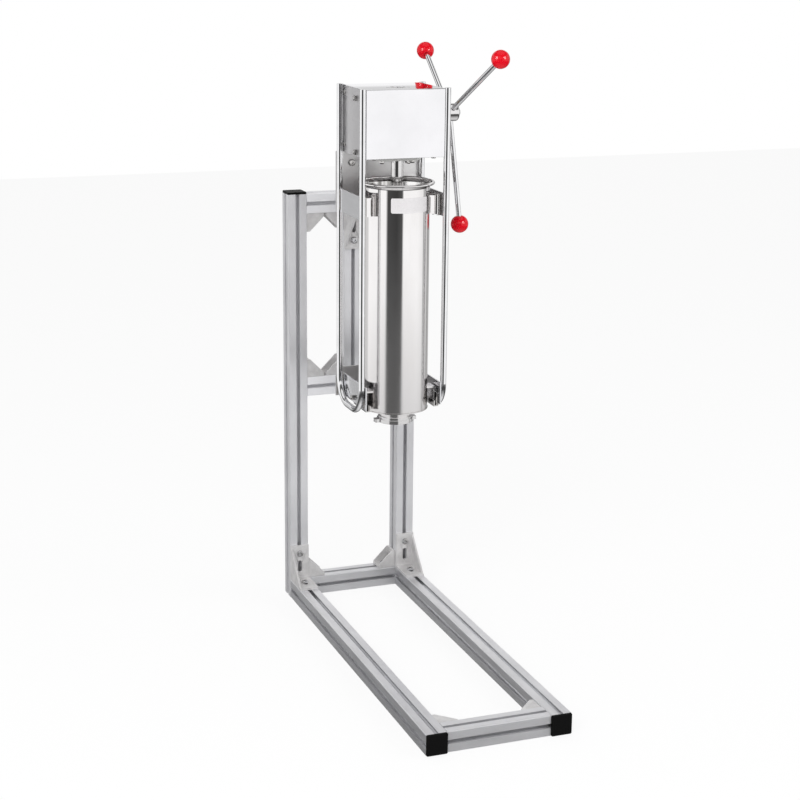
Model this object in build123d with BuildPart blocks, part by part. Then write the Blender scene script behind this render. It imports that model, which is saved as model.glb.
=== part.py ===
from build123d import *
from math import acos, cos, pi, radians, sin, tan
import os

# Churro maker: a hand-cranked piston press that hangs from a stand of slotted
# aluminium bars. Millimetres, +Z up, the rails run to the front along -Y.
# The origin is on the floor, at the centre of the whole footprint.

# ---------------------------------------------------------------- stand
profile = 40.0             # side of the square slotted bar
profile_round = 1.5        # rounding of the bar's long edges
slot_mouth = 8.2           # width of a slot at the bar's face
slot_lip = 4.5             # thickness of the lips beside the mouth
slot_inside = 20.0         # width of the slot under the lips
slot_depth = 12.3          # depth of the slot below the face
slot_floor = 9.0           # width of the slot's floor
slot_shoulder = 2.0        # straight height of the slot under the lips
core_bore = 8.1            # bore along the middle of each bar
stand_width = 280.0        # over both posts
rail_length = 800.0        # from the posts' front faces to the rails' ends
post_height = 870.0        # top of the posts and of the upper arm
middle_height = 485.0      # top of the middle bar and of the lower arm
cap_thickness = 4.5
cap_corner = 3.0
cap_edge = 1.5
cap_peg_length = 10.0
cap_peg_clearance = 0.1

# ---------------------------------------------------------------- brackets
bracket_plate = 5.0        # plate under every bracket screw
corner_leg = 38.0          # leg of the small die-cast corner bracket
corner_width = 36.0
corner_web = 3.0
corner_toe = 7.0           # height of a web at the end of a leg
corner_screw_reach = 22.0  # from the corner to the screw
gusset_stem = 77.0         # leg of the large bracket against the post
gusset_foot = 72.0         # leg of the large bracket along the rail or arm
gusset_web = 4.0
gusset_screw_reach = 59.0
gusset_foot_reach = 38.0
gusset_slot_reach = 30.0
gusset_slot_length = 25.0
screw_hole = 9.0

# ---------------------------------------------------------------- M8 hardware
screw_diameter = 8.0
screw_length = 14.0
screw_head = 14.0
screw_head_height = 4.4
screw_head_round = 2.5
socket_across = 5.0
socket_depth = 2.6
slot_nut_length = 15.0
slot_nut_width = 18.0
slot_nut_height = 5.6
slot_nut_play = 0.1
arm_screw_length = 70.0
plate_nut_across = 13.0
plate_nut_height = 6.5
plate_screw_length = 17.0

# ---------------------------------------------------------------- machine frame
machine_reach = 256.0      # from the posts' front faces to the cylinder's axis
rod_diameter = 12.0
rod_offset = 85.0          # from the axis to the rods, left and right
rod_front = 42.0           # from the axis forward to the front rods
rod_rear = 90.0            # from the axis back to the rear rods
rod_bend = 49.0            # centre-line radius of the U bends
rod_top_rise = 1.0         # the rods end this far above the top of the box
frame_drop = 10.0          # lowest point of the U bends, below the lower arm's top
side_plate = 3.0
upper_plate_rise = 35.0    # top of the upper plates, above the upper arm's top
upper_plate_height = 45.0
lower_plate_rise = 50.0    # top of the lower plates, above the lower arm's top
lower_plate_height = 45.0
rear_plate = 3.0
rear_plate_drop = 10.0     # bottom of the rear plate, below the upper arm's top
rear_tab_width = 60.0
rear_tab_height = 34.0
lower_rear_rise = 60.0     # top of the lower rear plate, above the lower arm's top
lower_rear_height = 59.0
mount_upright_width = 144.0
mount_shelf_width = 40.0
mount_shelf_depth = 80.0
mount_upper_height = 96.0
mount_lower_height = 46.0
mount_bolt_offset = 59.0   # the plate bolts, left and right of the axis
mount_bolt_top = 83.0      # upper plate bolts, above the arm
mount_bolt_low = 18.0      # lower row of the upper plate's bolts, above the arm
mount_bolt_bottom = 27.0   # bolts of the lower plate, above the arm
shelf_screw_inset = 26.0   # first shelf screw, from the shelf's front edge
shelf_screw_pitch = 36.0

# ---------------------------------------------------------------- gearbox
box_width = 158.0
box_front = 45.0           # from the axis forward to the front face
box_back = 89.0            # from the axis back to the back face
box_rise = 106.0           # bottom of the box, above the upper arm's top
box_height = 129.0
sheet = 2.0
hood_lip = 14.0
hood_lip_play = 1.0
hood_round = 1.5
ear_inset = 15.0           # ears welded to the rear rods, from the top of the box
ear_spacing = 99.0
ear_height = 14.0
ear_reach = 9.0            # beyond the centre line of the rear rods
bearing_plate = 6.0
bearing_front = 8.0        # from the axis forward to the plate's edge
bearing_back = 66.0        # from the axis back to the plate's edge
bearing_headroom = 4.0
side_bolt_back = 11.5      # the domed side bolts, behind the axis
side_bolt_inset = 20.0     # from the top of the box to the upper side bolt
side_bolt_spacing = 101.0
wall_screw_inset = 8.5     # screws of the side walls, in front of the back panel
small_screw = 5.0          # M5 screws of the sheet-metal box
small_screw_head = 9.0
small_screw_head_height = 2.8
small_screw_head_round = 1.3
small_socket = 3.0
small_socket_depth = 1.5
hood_screw_offset = 60.0
hex_bolt = 6.0             # M6 domed hexagon bolts
hex_across = 10.0
hex_flat_height = 4.5
hex_dome_height = 2.5
hex_dome_diameter = 9.2
hex_dome_round = 2.4

# ---------------------------------------------------------------- rack and gear
gear_module = 2.5
pinion_teeth = 18
pressure_angle = 20.0
backlash = 0.36
tip_clearance = 0.25       # of the module
pinion_face = 24.0
pinion_hub = 32.0
pinion_hub_length = 10.0
flank_steps = 6
rack_diameter = 24.0
rack_flat = 9.0            # tooth tips, behind the rack's axis
rack_foot = 57.0           # the rack's plain end below its teeth
rack_head = 10.0           # the rack's plain end above its teeth
rack_top_gap = 1.5         # the rack's end stays this far below the box's top
rack_hole_play = 4.5
rack_chamfer = 2.5
rack_centre_hole = 5.0     # in the rack's top end
rack_centre_depth = 6.0
guide_clearance = 0.08
guide_wall = 4.0
guide_block = 8.0
guide_collar = 8.0
lower_guide_width = 80.0
lower_guide_depth = 40.0
upper_guide_width = 56.0
upper_guide_depth = 36.0
lower_guide_screw = 31.0
upper_guide_screw = 22.0
shaft_diameter = 18.0
shaft_rise = 76.0          # handle shaft, above the bottom of the box
shaft_end_gap = 1.0
bush_wall = 3.0
bush_flange = 2.0
bush_flange_rim = 3.0
bush_stand_out = 2.0
running_clearance = 0.05
ring_thickness = 1.2
ring_rim = 3.5
ring_groove = 0.6
key_width = 6.0
key_length = 20.0
key_height = 6.0
key_in_shaft = 3.5

# ---------------------------------------------------------------- handle
hub_diameter = 34.0
hub_length = 32.0
hub_inner = 102.0          # from the axis to the hub's inner face
hub_round = 5.0
hub_floor = 5.0            # solid end of the hub
hub_screw_length = 20.0
spoke_diameter = 10.0
spoke_root = 11.0          # start of a spoke, from the shaft's centre line
spoke_splay = 6.0          # degrees that the spokes lean outwards
spoke_phase = -91.4        # degrees from the back, upwards, to the lowest spoke
spoke_count = 3
knob_circle = 218.0        # radius of the circle of knobs
knob_radius = 17.5
knob_seat = 8.0            # the spoke reaches this far short of the knob's middle
knob_fit = 0.05

# ---------------------------------------------------------------- cylinder
cylinder_radius = 63.5
cylinder_wall = 1.5
cylinder_hang = 7.0        # the tube's foot, below the ledges that carry the hooks
cylinder_floor = 2.0
cylinder_foot = 1.0        # the floor stands out this far
rim_rise = 20.0            # middle of the rolled bead, above the upper plates
rim_bead = 3.5
rim_reach = 69.5
rim_flare = 9.0
neck_radius = 31.0
neck_wall = 2.5
lug_back = -20.0           # side lugs, along Y from the axis
lug_sheet = 3.0
lug_bead = 5.5
lug_offset = 74.0
lug_drop = 5.0             # top of the side lugs, below the top of the upper plates
lug_height = 36.0
hook_height = 36.0         # top of the hooks, above the ledges
hook_sheet = 3.0
hook_outer = 72.5          # from the axis to the outside of the hooks
hook_back = -15.0          # middle of a hook, along Y from the axis
hook_width = 28.0
hook_play = 0.3
label_height = 28.5
label_drop = 22.0          # top of the label, below the rolled bead
label_thickness = 0.2
label_glue = 0.03
label_span = 73.0          # degrees
label_turn = 6.0           # degrees from the front towards the right

# ---------------------------------------------------------------- clips, cradles
clip_wall = 2.0
clip_play = 0.4
clip_height = 40.0
clip_mouth = 105.0         # degrees of the spring clip's opening
clip_turn = 22.5           # degrees that the opening looks forward
clip_pad = 18.0
cradle_sheet = 2.0
cradle_rise = 12.0         # the ledge that carries the hooks, above the U bends
cradle_inner = 66.0        # from the axis to the lip
cradle_lip = 10.0          # height of the lip above the ledge
cradle_leg = 26.0
cradle_length = 72.0
cradle_ledge = 40.0
cradle_front = 42.0        # from the axis forward to the cradle's edge
cradle_bolt_back = 21.0
cradle_bolt_rise = 13.0    # above the ledge

# ---------------------------------------------------------------- piston
piston_rest = 14.0         # lowest position, above the tube's floor
piston_thickness = 18.0
piston_gap = 0.8
seal_gap = 0.3
seal_height = 6.0
seal_depth = 4.0
piston_boss = 22.0
piston_boss_height = 8.0
stud_diameter = 16.0
stud_end = 1.0             # the stud ends this far above the piston's face
piston_nut_across = 24.0
piston_nut_height = 8.0
piston_pocket = 15.0
piston_pocket_depth = 10.0
valve_offset = 38.0
valve_radius = 6.0
valve_height = 5.0
valve_stem = 3.0
valve_round = 1.5

# ---------------------------------------------------------------- outlet
outlet_radius = 35.5
outlet_flange = 7.0        # height of the wide lower part with the wings
outlet_collar = 33.5       # radius above it
outlet_drop = 28.0         # bottom of the outlet ring, below the tube's foot
outlet_height = 12.0
outlet_lip = 2.5
outlet_opening = 26.0
outlet_thread_play = 0.1
wing_reach = 43.0
wing_width = 14.0
wing_height = 7.0
wing_round = 2.0
die_thickness = 3.0
die_radius = 30.0
die_points = 8
die_outer = 13.0
die_inner = 8.0
gasket_thickness = 1.5
gasket_opening = 27.0

# ---------------------------------------------------------------- worked out
knob_lean = tan(radians(spoke_splay))
hub_middle = hub_inner + hub_length / 2
knob_offset = hub_middle + knob_circle * knob_lean
mid_x = (stand_width / 2 - knob_offset - knob_radius) / 2
back_reach = profile + screw_head_height
face_y = (rail_length + cap_thickness - back_reach) / 2
axis_y = face_y - machine_reach
post_y = face_y + profile / 2
post_offset = stand_width / 2 - profile / 2
inner_width = stand_width - 2 * profile
inner_x = mid_x - inner_width / 2
rail_end = face_y - rail_length
beam_bottom = post_height - profile
slot_half = slot_mouth / 2

rod_radius = rod_diameter / 2
frame_bottom = middle_height - frame_drop
rod_line = frame_bottom + rod_radius
upper_plate_top = post_height + upper_plate_rise
lower_plate_top = middle_height + lower_plate_rise
rear_plate_bottom = post_height - rear_plate_drop
lower_rear_top = middle_height + lower_rear_rise
rear_face = rod_rear + rod_radius
upright_front = rear_face + rear_plate
upright_back = upright_front + bracket_plate
arm_length = machine_reach - upright_front

box_bottom = post_height + box_rise
box_top = box_bottom + box_height
shaft_height = box_bottom + shaft_rise
wall_outer = box_width / 2
wall_inner = wall_outer - sheet
bearing_face = wall_inner - bearing_plate
box_inside = (sheet - box_front, box_back - sheet)
wall_screw_back = box_back - sheet - wall_screw_inset
ear_heights = (box_top - ear_inset, box_top - ear_inset - ear_spacing)
side_bolt_heights = (box_top - side_bolt_inset, box_top - side_bolt_inset - side_bolt_spacing)

pitch_radius = gear_module * pinion_teeth / 2
pinion_outer = pitch_radius + gear_module
pinion_root = pitch_radius - gear_module * (1 + tip_clearance)
pinion_base = pitch_radius * cos(radians(pressure_angle))
tooth_pitch = pi * gear_module
pitch_line = rack_flat - gear_module
shaft_back = pitch_line + pitch_radius
shaft_radius = shaft_diameter / 2
bush_radius = shaft_radius + running_clearance + bush_wall
bush_rim = bush_radius + bush_flange_rim
shaft_left = -wall_inner + shaft_end_gap
shaft_right = hub_inner + hub_length - hub_floor

cradle_floor = frame_bottom + cradle_rise
cradle_bolt_height = cradle_floor + cradle_bolt_rise
cylinder_bottom = cradle_floor - cylinder_hang
rim_height = upper_plate_top + rim_rise
lug_top = upper_plate_top - lug_drop
hook_top = cradle_floor + hook_height
label_bottom = rim_height - label_drop - label_height
bore_radius = cylinder_radius - cylinder_wall
rack_radius = rack_diameter / 2
rack_top = box_top - rack_top_gap
guide_bore = rack_radius + guide_clearance
upper_guide_bottom = box_top - sheet - guide_block
piston_bottom = cylinder_bottom + cylinder_floor + piston_rest
piston_top = piston_bottom + piston_thickness
rack_bottom = piston_top + piston_boss_height
rack_teeth_below = int((shaft_height - rack_bottom - rack_foot) / tooth_pitch)
rack_teeth_above = int((rack_top - rack_head - shaft_height) / tooth_pitch)
outlet_bottom = cylinder_bottom - outlet_drop
outlet_seat = outlet_bottom + outlet_lip
neck_bottom = outlet_seat + die_thickness + gasket_thickness + running_clearance
mirror_sides = (("left", -1), ("right", 1))

os.makedirs("parts", exist_ok=True)


def level(height):
    """Sketch plane seen from above: sketch x is X and sketch y is Y."""
    return Plane.XY.offset(height)


def facing_front(y):
    """Sketch plane that looks to the front: sketch x is X and sketch y is Z."""
    return Plane.XZ.offset(-y)


def facing_right(x):
    """Sketch plane that looks to the right: sketch x is Y and sketch y is Z."""
    return Plane.YZ.offset(x)


def hand_over(piece, name):
    """Label a finished piece and write its file."""
    piece.part.label = name
    export_step(piece.part, "parts/" + name + ".step")


# ================================================================ slotted bars
slot_outline = (
    (-slot_depth, -slot_floor / 2),
    (-slot_depth, slot_floor / 2),
    (-slot_lip - slot_shoulder, slot_inside / 2),
    (-slot_lip, slot_inside / 2),
    (-slot_lip, slot_half),
    (profile_round, slot_half),
    (profile_round, -slot_half),
    (-slot_lip, -slot_half),
    (-slot_lip, -slot_inside / 2),
    (-slot_lip - slot_shoulder, -slot_inside / 2),
)


def bar_section(plane):
    """The bar's cross-section: four T-slots round a bored core."""
    with BuildSketch(plane) as section:
        Rectangle(profile, profile)
        fillet(section.vertices(), profile_round)
        with PolarLocations(profile / 2, 4):
            Polygon(*slot_outline, align=None, mode=Mode.SUBTRACT)
        Circle(core_bore / 2, mode=Mode.SUBTRACT)
    return section.sketch


def along_right(x, y, z):
    return Plane((x, y, z), x_dir=(0, 1, 0), z_dir=(1, 0, 0))


def along_front(x, y, z):
    return Plane((x, y, z), x_dir=(1, 0, 0), z_dir=(0, -1, 0))


bars = {
    "left_post": (Plane((mid_x - post_offset, post_y, 0)), post_height),
    "right_post": (Plane((mid_x + post_offset, post_y, 0)), post_height),
    "left_rail": (along_front(mid_x - post_offset, face_y, profile / 2), rail_length),
    "right_rail": (along_front(mid_x + post_offset, face_y, profile / 2), rail_length),
    "front_bar": (along_right(inner_x, rail_end + profile / 2, profile / 2), inner_width),
    "rear_bar": (along_right(inner_x, post_y, profile / 2), inner_width),
    "centre_post": (Plane((mid_x, post_y, middle_height)), beam_bottom - middle_height),
    "lower_arm": (along_front(mid_x, face_y, middle_height - profile / 2), arm_length),
    "upper_arm": (along_front(mid_x, face_y, post_height - profile / 2), arm_length),
}
for bar_name, (bar_plane, bar_length) in bars.items():
    with BuildPart() as bar:
        extrude(bar_section(bar_plane), amount=bar_length)
    hand_over(bar, bar_name)

# The two bars that carry the arms have a cross hole for the arm's end screw.
for bar_name, bar_top in (("middle_bar", middle_height), ("top_bar", post_height)):
    bar_middle = bar_top - profile / 2
    with BuildPart() as bar:
        extrude(bar_section(along_right(inner_x, post_y, bar_middle)), amount=inner_width)
        with BuildSketch(facing_front(face_y + profile)):
            with Locations((mid_x, bar_middle)):
                Circle(core_bore / 2)
        extrude(amount=profile, mode=Mode.SUBTRACT)
    hand_over(bar, bar_name)

# ================================================================ plastic caps
# Four equal caps close the tops of the posts and the front ends of the rails.
with BuildPart() as one_cap:
    with BuildSketch():
        Rectangle(profile, profile)
    extrude(amount=cap_thickness)
    fillet(one_cap.edges().filter_by(Axis.Z), cap_corner)
    fillet(one_cap.faces().sort_by(Axis.Z)[-1].edges(), cap_edge)
    with BuildSketch():
        Circle(core_bore / 2 - cap_peg_clearance)
    extrude(amount=-cap_peg_length)

cap_planes = []
for side, sign in mirror_sides:
    cap_x = mid_x + sign * post_offset
    cap_planes.append(Plane((cap_x, post_y, post_height)))
    cap_planes.append(along_front(cap_x, rail_end, profile / 2))
with BuildPart() as bar_caps:
    with Locations(*cap_planes):
        add(one_cap.part)
hand_over(bar_caps, "bar_caps")


# ================================================================ corner brackets
def corner_bracket(corner, leg_a, leg_b):
    """Two plates at a right angle with a web at each side."""
    side_plane = Plane(corner, x_dir=leg_a, z_dir=Vector(*leg_a).cross(Vector(*leg_b)))
    with BuildPart() as bracket:
        with BuildSketch(side_plane):
            Polygon(
                (0, 0), (corner_leg, 0), (corner_leg, bracket_plate), (bracket_plate, bracket_plate),
                (bracket_plate, corner_leg), (0, corner_leg), align=None,
            )
        extrude(amount=corner_width / 2, both=True)
        for web_start in (-corner_width / 2, corner_width / 2 - corner_web):
            with BuildSketch(side_plane.offset(web_start)):
                Polygon(
                    (0, 0), (corner_leg, 0), (corner_leg, corner_toe),
                    (corner_toe, corner_leg), (0, corner_leg), align=None,
                )
            extrude(amount=corner_web)
        for along, normal in ((leg_a, leg_b), (leg_b, leg_a)):
            hole_spot = Vector(*corner) + Vector(*along) * corner_screw_reach
            with BuildSketch(Plane(hole_spot, z_dir=normal)):
                Circle(screw_hole / 2)
            extrude(amount=bracket_plate, mode=Mode.SUBTRACT)
    return bracket.part


left, right, front, back = (-1, 0, 0), (1, 0, 0), (0, -1, 0), (0, 1, 0)
up, down = (0, 0, 1), (0, 0, -1)
post_inner = inner_width / 2
post_half = profile / 2
corners = []
for side, sign in mirror_sides:
    inward = (-sign, 0, 0)
    outward = (sign, 0, 0)
    corners.append(((mid_x + sign * post_inner, post_y, beam_bottom), inward, down))
    corners.append(((mid_x + sign * post_half, post_y, beam_bottom), outward, down))
    corners.append(((mid_x + sign * post_inner, post_y, middle_height), inward, up))
    corners.append(((mid_x + sign * post_half, post_y, middle_height), outward, up))
    corners.append(((mid_x + sign * post_inner, post_y, profile), inward, up))
    corners.append(((mid_x + sign * post_inner, rail_end + profile, profile / 2), inward, back))

screw_seats = []           # planes under the screw heads, x along the slot


def seat_screw(corner, along, normal, reach):
    """Note a screw that presses a bracket plate against a slotted face."""
    spot = Vector(*corner) + Vector(*along) * reach + Vector(*normal) * bracket_plate
    screw_seats.append(Plane(spot, x_dir=along, z_dir=normal))


with BuildPart() as corner_brackets:
    for corner, leg_a, leg_b in corners:
        add(corner_bracket(corner, leg_a, leg_b))
        seat_screw(corner, leg_a, leg_b, corner_screw_reach)
        seat_screw(corner, leg_b, leg_a, corner_screw_reach)
hand_over(corner_brackets, "corner_brackets")


# ================================================================ large brackets
def gusset_bracket(corner, foot, stem, web_sign):
    """A wide angle with one triangular web at its side."""
    side_plane = Plane(corner, x_dir=foot, z_dir=Vector(*foot).cross(Vector(*stem)))
    with BuildPart() as bracket:
        with BuildSketch(side_plane):
            Polygon(
                (0, 0), (gusset_foot, 0), (gusset_foot, bracket_plate), (bracket_plate, bracket_plate),
                (bracket_plate, gusset_stem), (0, gusset_stem), align=None,
            )
        extrude(amount=profile / 2, both=True)
        with BuildSketch(side_plane.offset(web_sign * profile / 2)):
            Polygon((0, 0), (gusset_foot, 0), (0, gusset_stem), align=None)
        extrude(amount=-web_sign * gusset_web)
        with BuildSketch(Plane(corner, x_dir=stem, z_dir=foot)):
            with Locations((gusset_screw_reach, 0)):
                Circle(screw_hole / 2)
            with Locations((gusset_slot_reach, 0)):
                SlotOverall(gusset_slot_length, screw_hole)
        extrude(amount=bracket_plate, mode=Mode.SUBTRACT)
        with BuildSketch(Plane(corner, x_dir=foot, z_dir=stem)):
            with Locations((gusset_foot_reach, 0)):
                SlotOverall(gusset_slot_length, screw_hole)
        extrude(amount=bracket_plate, mode=Mode.SUBTRACT)
    return bracket


large_brackets = {
    "left_foot_bracket": ((mid_x - post_offset, face_y, profile), front, up, 1),
    "right_foot_bracket": ((mid_x + post_offset, face_y, profile), front, up, -1),
    "arm_bracket": ((mid_x, face_y, beam_bottom), front, down, -1),
}
for bracket_name, (corner, foot, stem, web_sign) in large_brackets.items():
    hand_over(gusset_bracket(corner, foot, stem, web_sign), bracket_name)
    seat_screw(corner, stem, foot, gusset_screw_reach)
    seat_screw(corner, foot, stem, gusset_foot_reach)


# ================================================================ machine places
# From here on, pieces are placed from the cylinder's axis and the floor.
def upward(x, y, z):
    return Plane((mid_x + x, axis_y + y, z))


def downward(x, y, z):
    return Plane((mid_x + x, axis_y + y, z), x_dir=(1, 0, 0), z_dir=(0, 0, -1))


def rightward(x, y, z):
    return Plane((mid_x + x, axis_y + y, z), x_dir=(0, 1, 0), z_dir=(1, 0, 0))


def outward(sign, x, y, z):
    """Plane at the left or right side that looks away from the middle."""
    return Plane((mid_x + sign * x, axis_y + y, z), x_dir=(0, sign, 0), z_dir=(sign, 0, 0))


def frontward(x, y, z):
    return Plane((mid_x + x, axis_y + y, z), x_dir=(1, 0, 0), z_dir=(0, -1, 0))


def round_bar(plane, radius, length, mode=Mode.ADD):
    """A round bar, or with SUBTRACT a round hole, from a plane outwards."""
    with BuildSketch(plane) as disc:
        Circle(radius)
    extrude(disc.sketch, amount=length, mode=mode)


def hexagon_bar(plane, across_flats, length, mode=Mode.ADD):
    with BuildSketch(plane) as hexagon:
        RegularPolygon(across_flats / 2, 6, major_radius=False)
    extrude(hexagon.sketch, amount=length, mode=mode)


def block(x_span, y_span, z_span, mode=Mode.ADD):
    """A square-edged block between two values on each axis."""
    x_low, x_high = sorted(x_span)
    y_low, y_high = y_span
    z_low, z_high = z_span
    middle = (mid_x + (x_low + x_high) / 2, axis_y + (y_low + y_high) / 2, (z_low + z_high) / 2)
    with Locations(middle):
        Box(x_high - x_low, y_high - y_low, z_high - z_low, mode=mode)


machine_axis = Axis((mid_x, axis_y, 0), (0, 0, 1))

# ================================================================ mounting angles
# Each arm ends in a steel angle whose upright carries one of the rear plates.
mounts = {
    "upper_mount": (post_height, mount_upper_height, (mount_bolt_low, mount_bolt_top)),
    "lower_mount": (middle_height, mount_lower_height, (mount_bolt_bottom,)),
}
plate_bolt_planes = []
for mount_name, (shelf, upright_height, bolt_rises) in mounts.items():
    shelf_spots = [shelf_screw_inset, shelf_screw_inset + shelf_screw_pitch]
    with BuildPart() as mount:
        half = mount_upright_width / 2
        block((-half, half), (upright_front, upright_back), (shelf, shelf + upright_height))
        half = mount_shelf_width / 2
        shelf_span = (upright_front, upright_front + mount_shelf_depth)
        block((-half, half), shelf_span, (shelf, shelf + bracket_plate))
        for reach in shelf_spots:
            hole_plane = upward(0, upright_front + reach, shelf)
            round_bar(hole_plane, screw_hole / 2, bracket_plate, Mode.SUBTRACT)
        for rise in bolt_rises:
            for sign in (-1, 1):
                bolt_plane = frontward(sign * mount_bolt_offset, rear_face, shelf + rise)
                plate_bolt_planes.append(bolt_plane)
                hole_depth = rear_plate + bracket_plate
                round_bar(bolt_plane, screw_hole / 2, -hole_depth, Mode.SUBTRACT)
    hand_over(mount, mount_name)
    for reach in shelf_spots:
        shelf_corner = (mid_x, axis_y + upright_front, shelf)
        seat_screw(shelf_corner, back, up, reach)


# ================================================================ screws and nuts
def button_screw(length):
    """An M8 button-head screw that stands on its head's seat."""
    with BuildPart() as screw:
        round_bar(Plane.XY, screw_head / 2, screw_head_height)
        fillet(screw.faces().sort_by(Axis.Z)[-1].edges(), screw_head_round)
        hexagon_bar(level(screw_head_height), socket_across, -socket_depth, Mode.SUBTRACT)
        round_bar(Plane.XY, screw_diameter / 2, -length)
    return screw.part


nut_half = slot_nut_width / 2
nut_top = -bracket_plate - slot_lip - slot_nut_play
nut_shoulder = -bracket_plate - slot_lip - slot_shoulder
with BuildPart() as one_slot_nut:
    with BuildSketch(Plane.YZ.offset(-slot_nut_length / 2)):
        Polygon(
            (-nut_half, nut_top), (nut_half, nut_top), (nut_half, nut_shoulder),
            (slot_floor / 2, nut_top - slot_nut_height), (-slot_floor / 2, nut_top - slot_nut_height),
            (-nut_half, nut_shoulder), align=None,
        )
    extrude(amount=slot_nut_length)
    round_bar(level(nut_top), screw_diameter / 2, -slot_nut_height, Mode.SUBTRACT)

one_screw = button_screw(screw_length)
with BuildPart() as bracket_screws:
    with Locations(*screw_seats):
        add(one_screw)
hand_over(bracket_screws, "bracket_screws")

with BuildPart() as slot_nuts:
    with Locations(*screw_seats):
        add(one_slot_nut.part)
hand_over(slot_nuts, "slot_nuts")

arm_screw_spots = [(mid_x, face_y + profile, top - profile / 2) for top in (middle_height, post_height)]
arm_screw = button_screw(arm_screw_length)
with BuildPart() as arm_screws:
    with Locations(*[Plane(spot, x_dir=(1, 0, 0), z_dir=back) for spot in arm_screw_spots]):
        add(arm_screw)
hand_over(arm_screws, "arm_screws")

plate_screw = button_screw(plate_screw_length)
with BuildPart() as plate_bolts:
    with Locations(*plate_bolt_planes):
        add(plate_screw)
    for bolt_plane in plate_bolt_planes:
        nut_plane = bolt_plane.offset(-rear_plate - bracket_plate)
        with BuildPart(mode=Mode.PRIVATE) as one_nut:
            hexagon_bar(nut_plane, plate_nut_across, -plate_nut_height)
            nut_bore = screw_diameter / 2 + running_clearance
            round_bar(nut_plane, nut_bore, -plate_nut_height, Mode.SUBTRACT)
        add(one_nut.part)
hand_over(plate_bolts, "plate_bolts")

# ================================================================ U frames
u_frames = {}
for side, sign in mirror_sides:
    frame_x = mid_x + sign * rod_offset
    front_line = axis_y - rod_front
    rear_line = axis_y + rod_rear
    rod_top = box_top + rod_top_rise
    with BuildPart() as u_frame:
        with BuildLine(facing_right(frame_x)):
            FilletPolyline(
                (front_line, rod_top), (front_line, rod_line), (rear_line, rod_line),
                (rear_line, rod_top), radius=rod_bend,
            )
        with BuildSketch(Plane((frame_x, front_line, rod_top), z_dir=(0, 0, -1))):
            Circle(rod_radius)
        sweep()
    u_frames[side] = u_frame.part
    hand_over(u_frame, side + "_u_frame")

# ================================================================ side plates
# The upper plates are coped round the rods; the lower ones lie against them.
for side, sign in mirror_sides:
    upper_span = (sign * (rod_offset - side_plate / 2), sign * (rod_offset + side_plate / 2))
    with BuildPart() as upper_plate:
        block(upper_span, (-rod_front, rod_rear), (upper_plate_top - upper_plate_height, upper_plate_top))
        add(u_frames[side], mode=Mode.SUBTRACT)
    hand_over(upper_plate, side + "_upper_plate")

lower_outer = rod_offset - rod_radius
lower_inner = lower_outer - side_plate
for side, sign in mirror_sides:
    lower_span = (sign * lower_inner, sign * lower_outer)
    lower_bottom = lower_plate_top - lower_plate_height
    with BuildPart() as lower_plate:
        block(lower_span, (-rod_front - rod_radius, rod_rear), (lower_bottom, lower_plate_top))
        bolt_plane = outward(sign, lower_inner, cradle_bolt_back, cradle_bolt_height)
        round_bar(bolt_plane, hex_bolt / 2, side_plate, Mode.SUBTRACT)
    hand_over(lower_plate, side + "_lower_plate")

# ================================================================ rear plates
rear_half = rod_offset + rod_radius
with BuildPart() as upper_rear_plate:
    block((-rear_half, rear_half), (rear_face, upright_front), (rear_plate_bottom, box_bottom))
    tab = rear_tab_width / 2
    block((-tab, tab), (rear_face, upright_front), (rear_plate_bottom - rear_tab_height, rear_plate_bottom))
    for bolt_plane in plate_bolt_planes[:4]:
        round_bar(bolt_plane, screw_hole / 2, -rear_plate, Mode.SUBTRACT)
hand_over(upper_rear_plate, "upper_rear_plate")

with BuildPart() as lower_rear_plate:
    rear_span = (lower_rear_top - lower_rear_height, lower_rear_top)
    block((-rear_half, rear_half), (rear_face, upright_front), rear_span)
    for bolt_plane in plate_bolt_planes[4:]:
        round_bar(bolt_plane, screw_hole / 2, -rear_plate, Mode.SUBTRACT)
hand_over(lower_rear_plate, "lower_rear_plate")

# ================================================================ gearbox sheet metal
lower_collar = guide_bore + guide_wall
with BuildPart() as gearbox_chassis:
    block((-wall_outer, wall_outer), box_inside, (box_bottom, box_bottom + sheet))
    for sign in (-1, 1):
        wall_span = (sign * wall_inner, sign * wall_outer)
        block(wall_span, box_inside, (box_bottom, box_top - sheet))
        for height in ear_heights:
            ear_span = (height - ear_height / 2, height + ear_height / 2)
            block(wall_span, (box_back, rod_rear + ear_reach), ear_span)
            block(wall_span, (box_back - sheet, box_back), ear_span)
            wall_hole = outward(sign, wall_inner, wall_screw_back, height)
            round_bar(wall_hole, small_screw / 2, sheet, Mode.SUBTRACT)
        for height in side_bolt_heights:
            bolt_hole = outward(sign, wall_inner, side_bolt_back, height)
            round_bar(bolt_hole, hex_bolt / 2, sheet, Mode.SUBTRACT)
        guide_hole = upward(sign * lower_guide_screw, 0, box_bottom)
        round_bar(guide_hole, hex_bolt / 2, sheet, Mode.SUBTRACT)
        for y in (box_inside[0] + hood_lip / 2, box_inside[1] - hood_lip / 2):
            hood_hole = upward(sign * hood_screw_offset, y, box_bottom)
            round_bar(hood_hole, small_screw / 2, sheet, Mode.SUBTRACT)
    round_bar(upward(0, 0, box_bottom), lower_collar, sheet, Mode.SUBTRACT)
    round_bar(rightward(wall_inner, shaft_back, shaft_height), bush_radius, sheet, Mode.SUBTRACT)
hand_over(gearbox_chassis, "gearbox_chassis")

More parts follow.
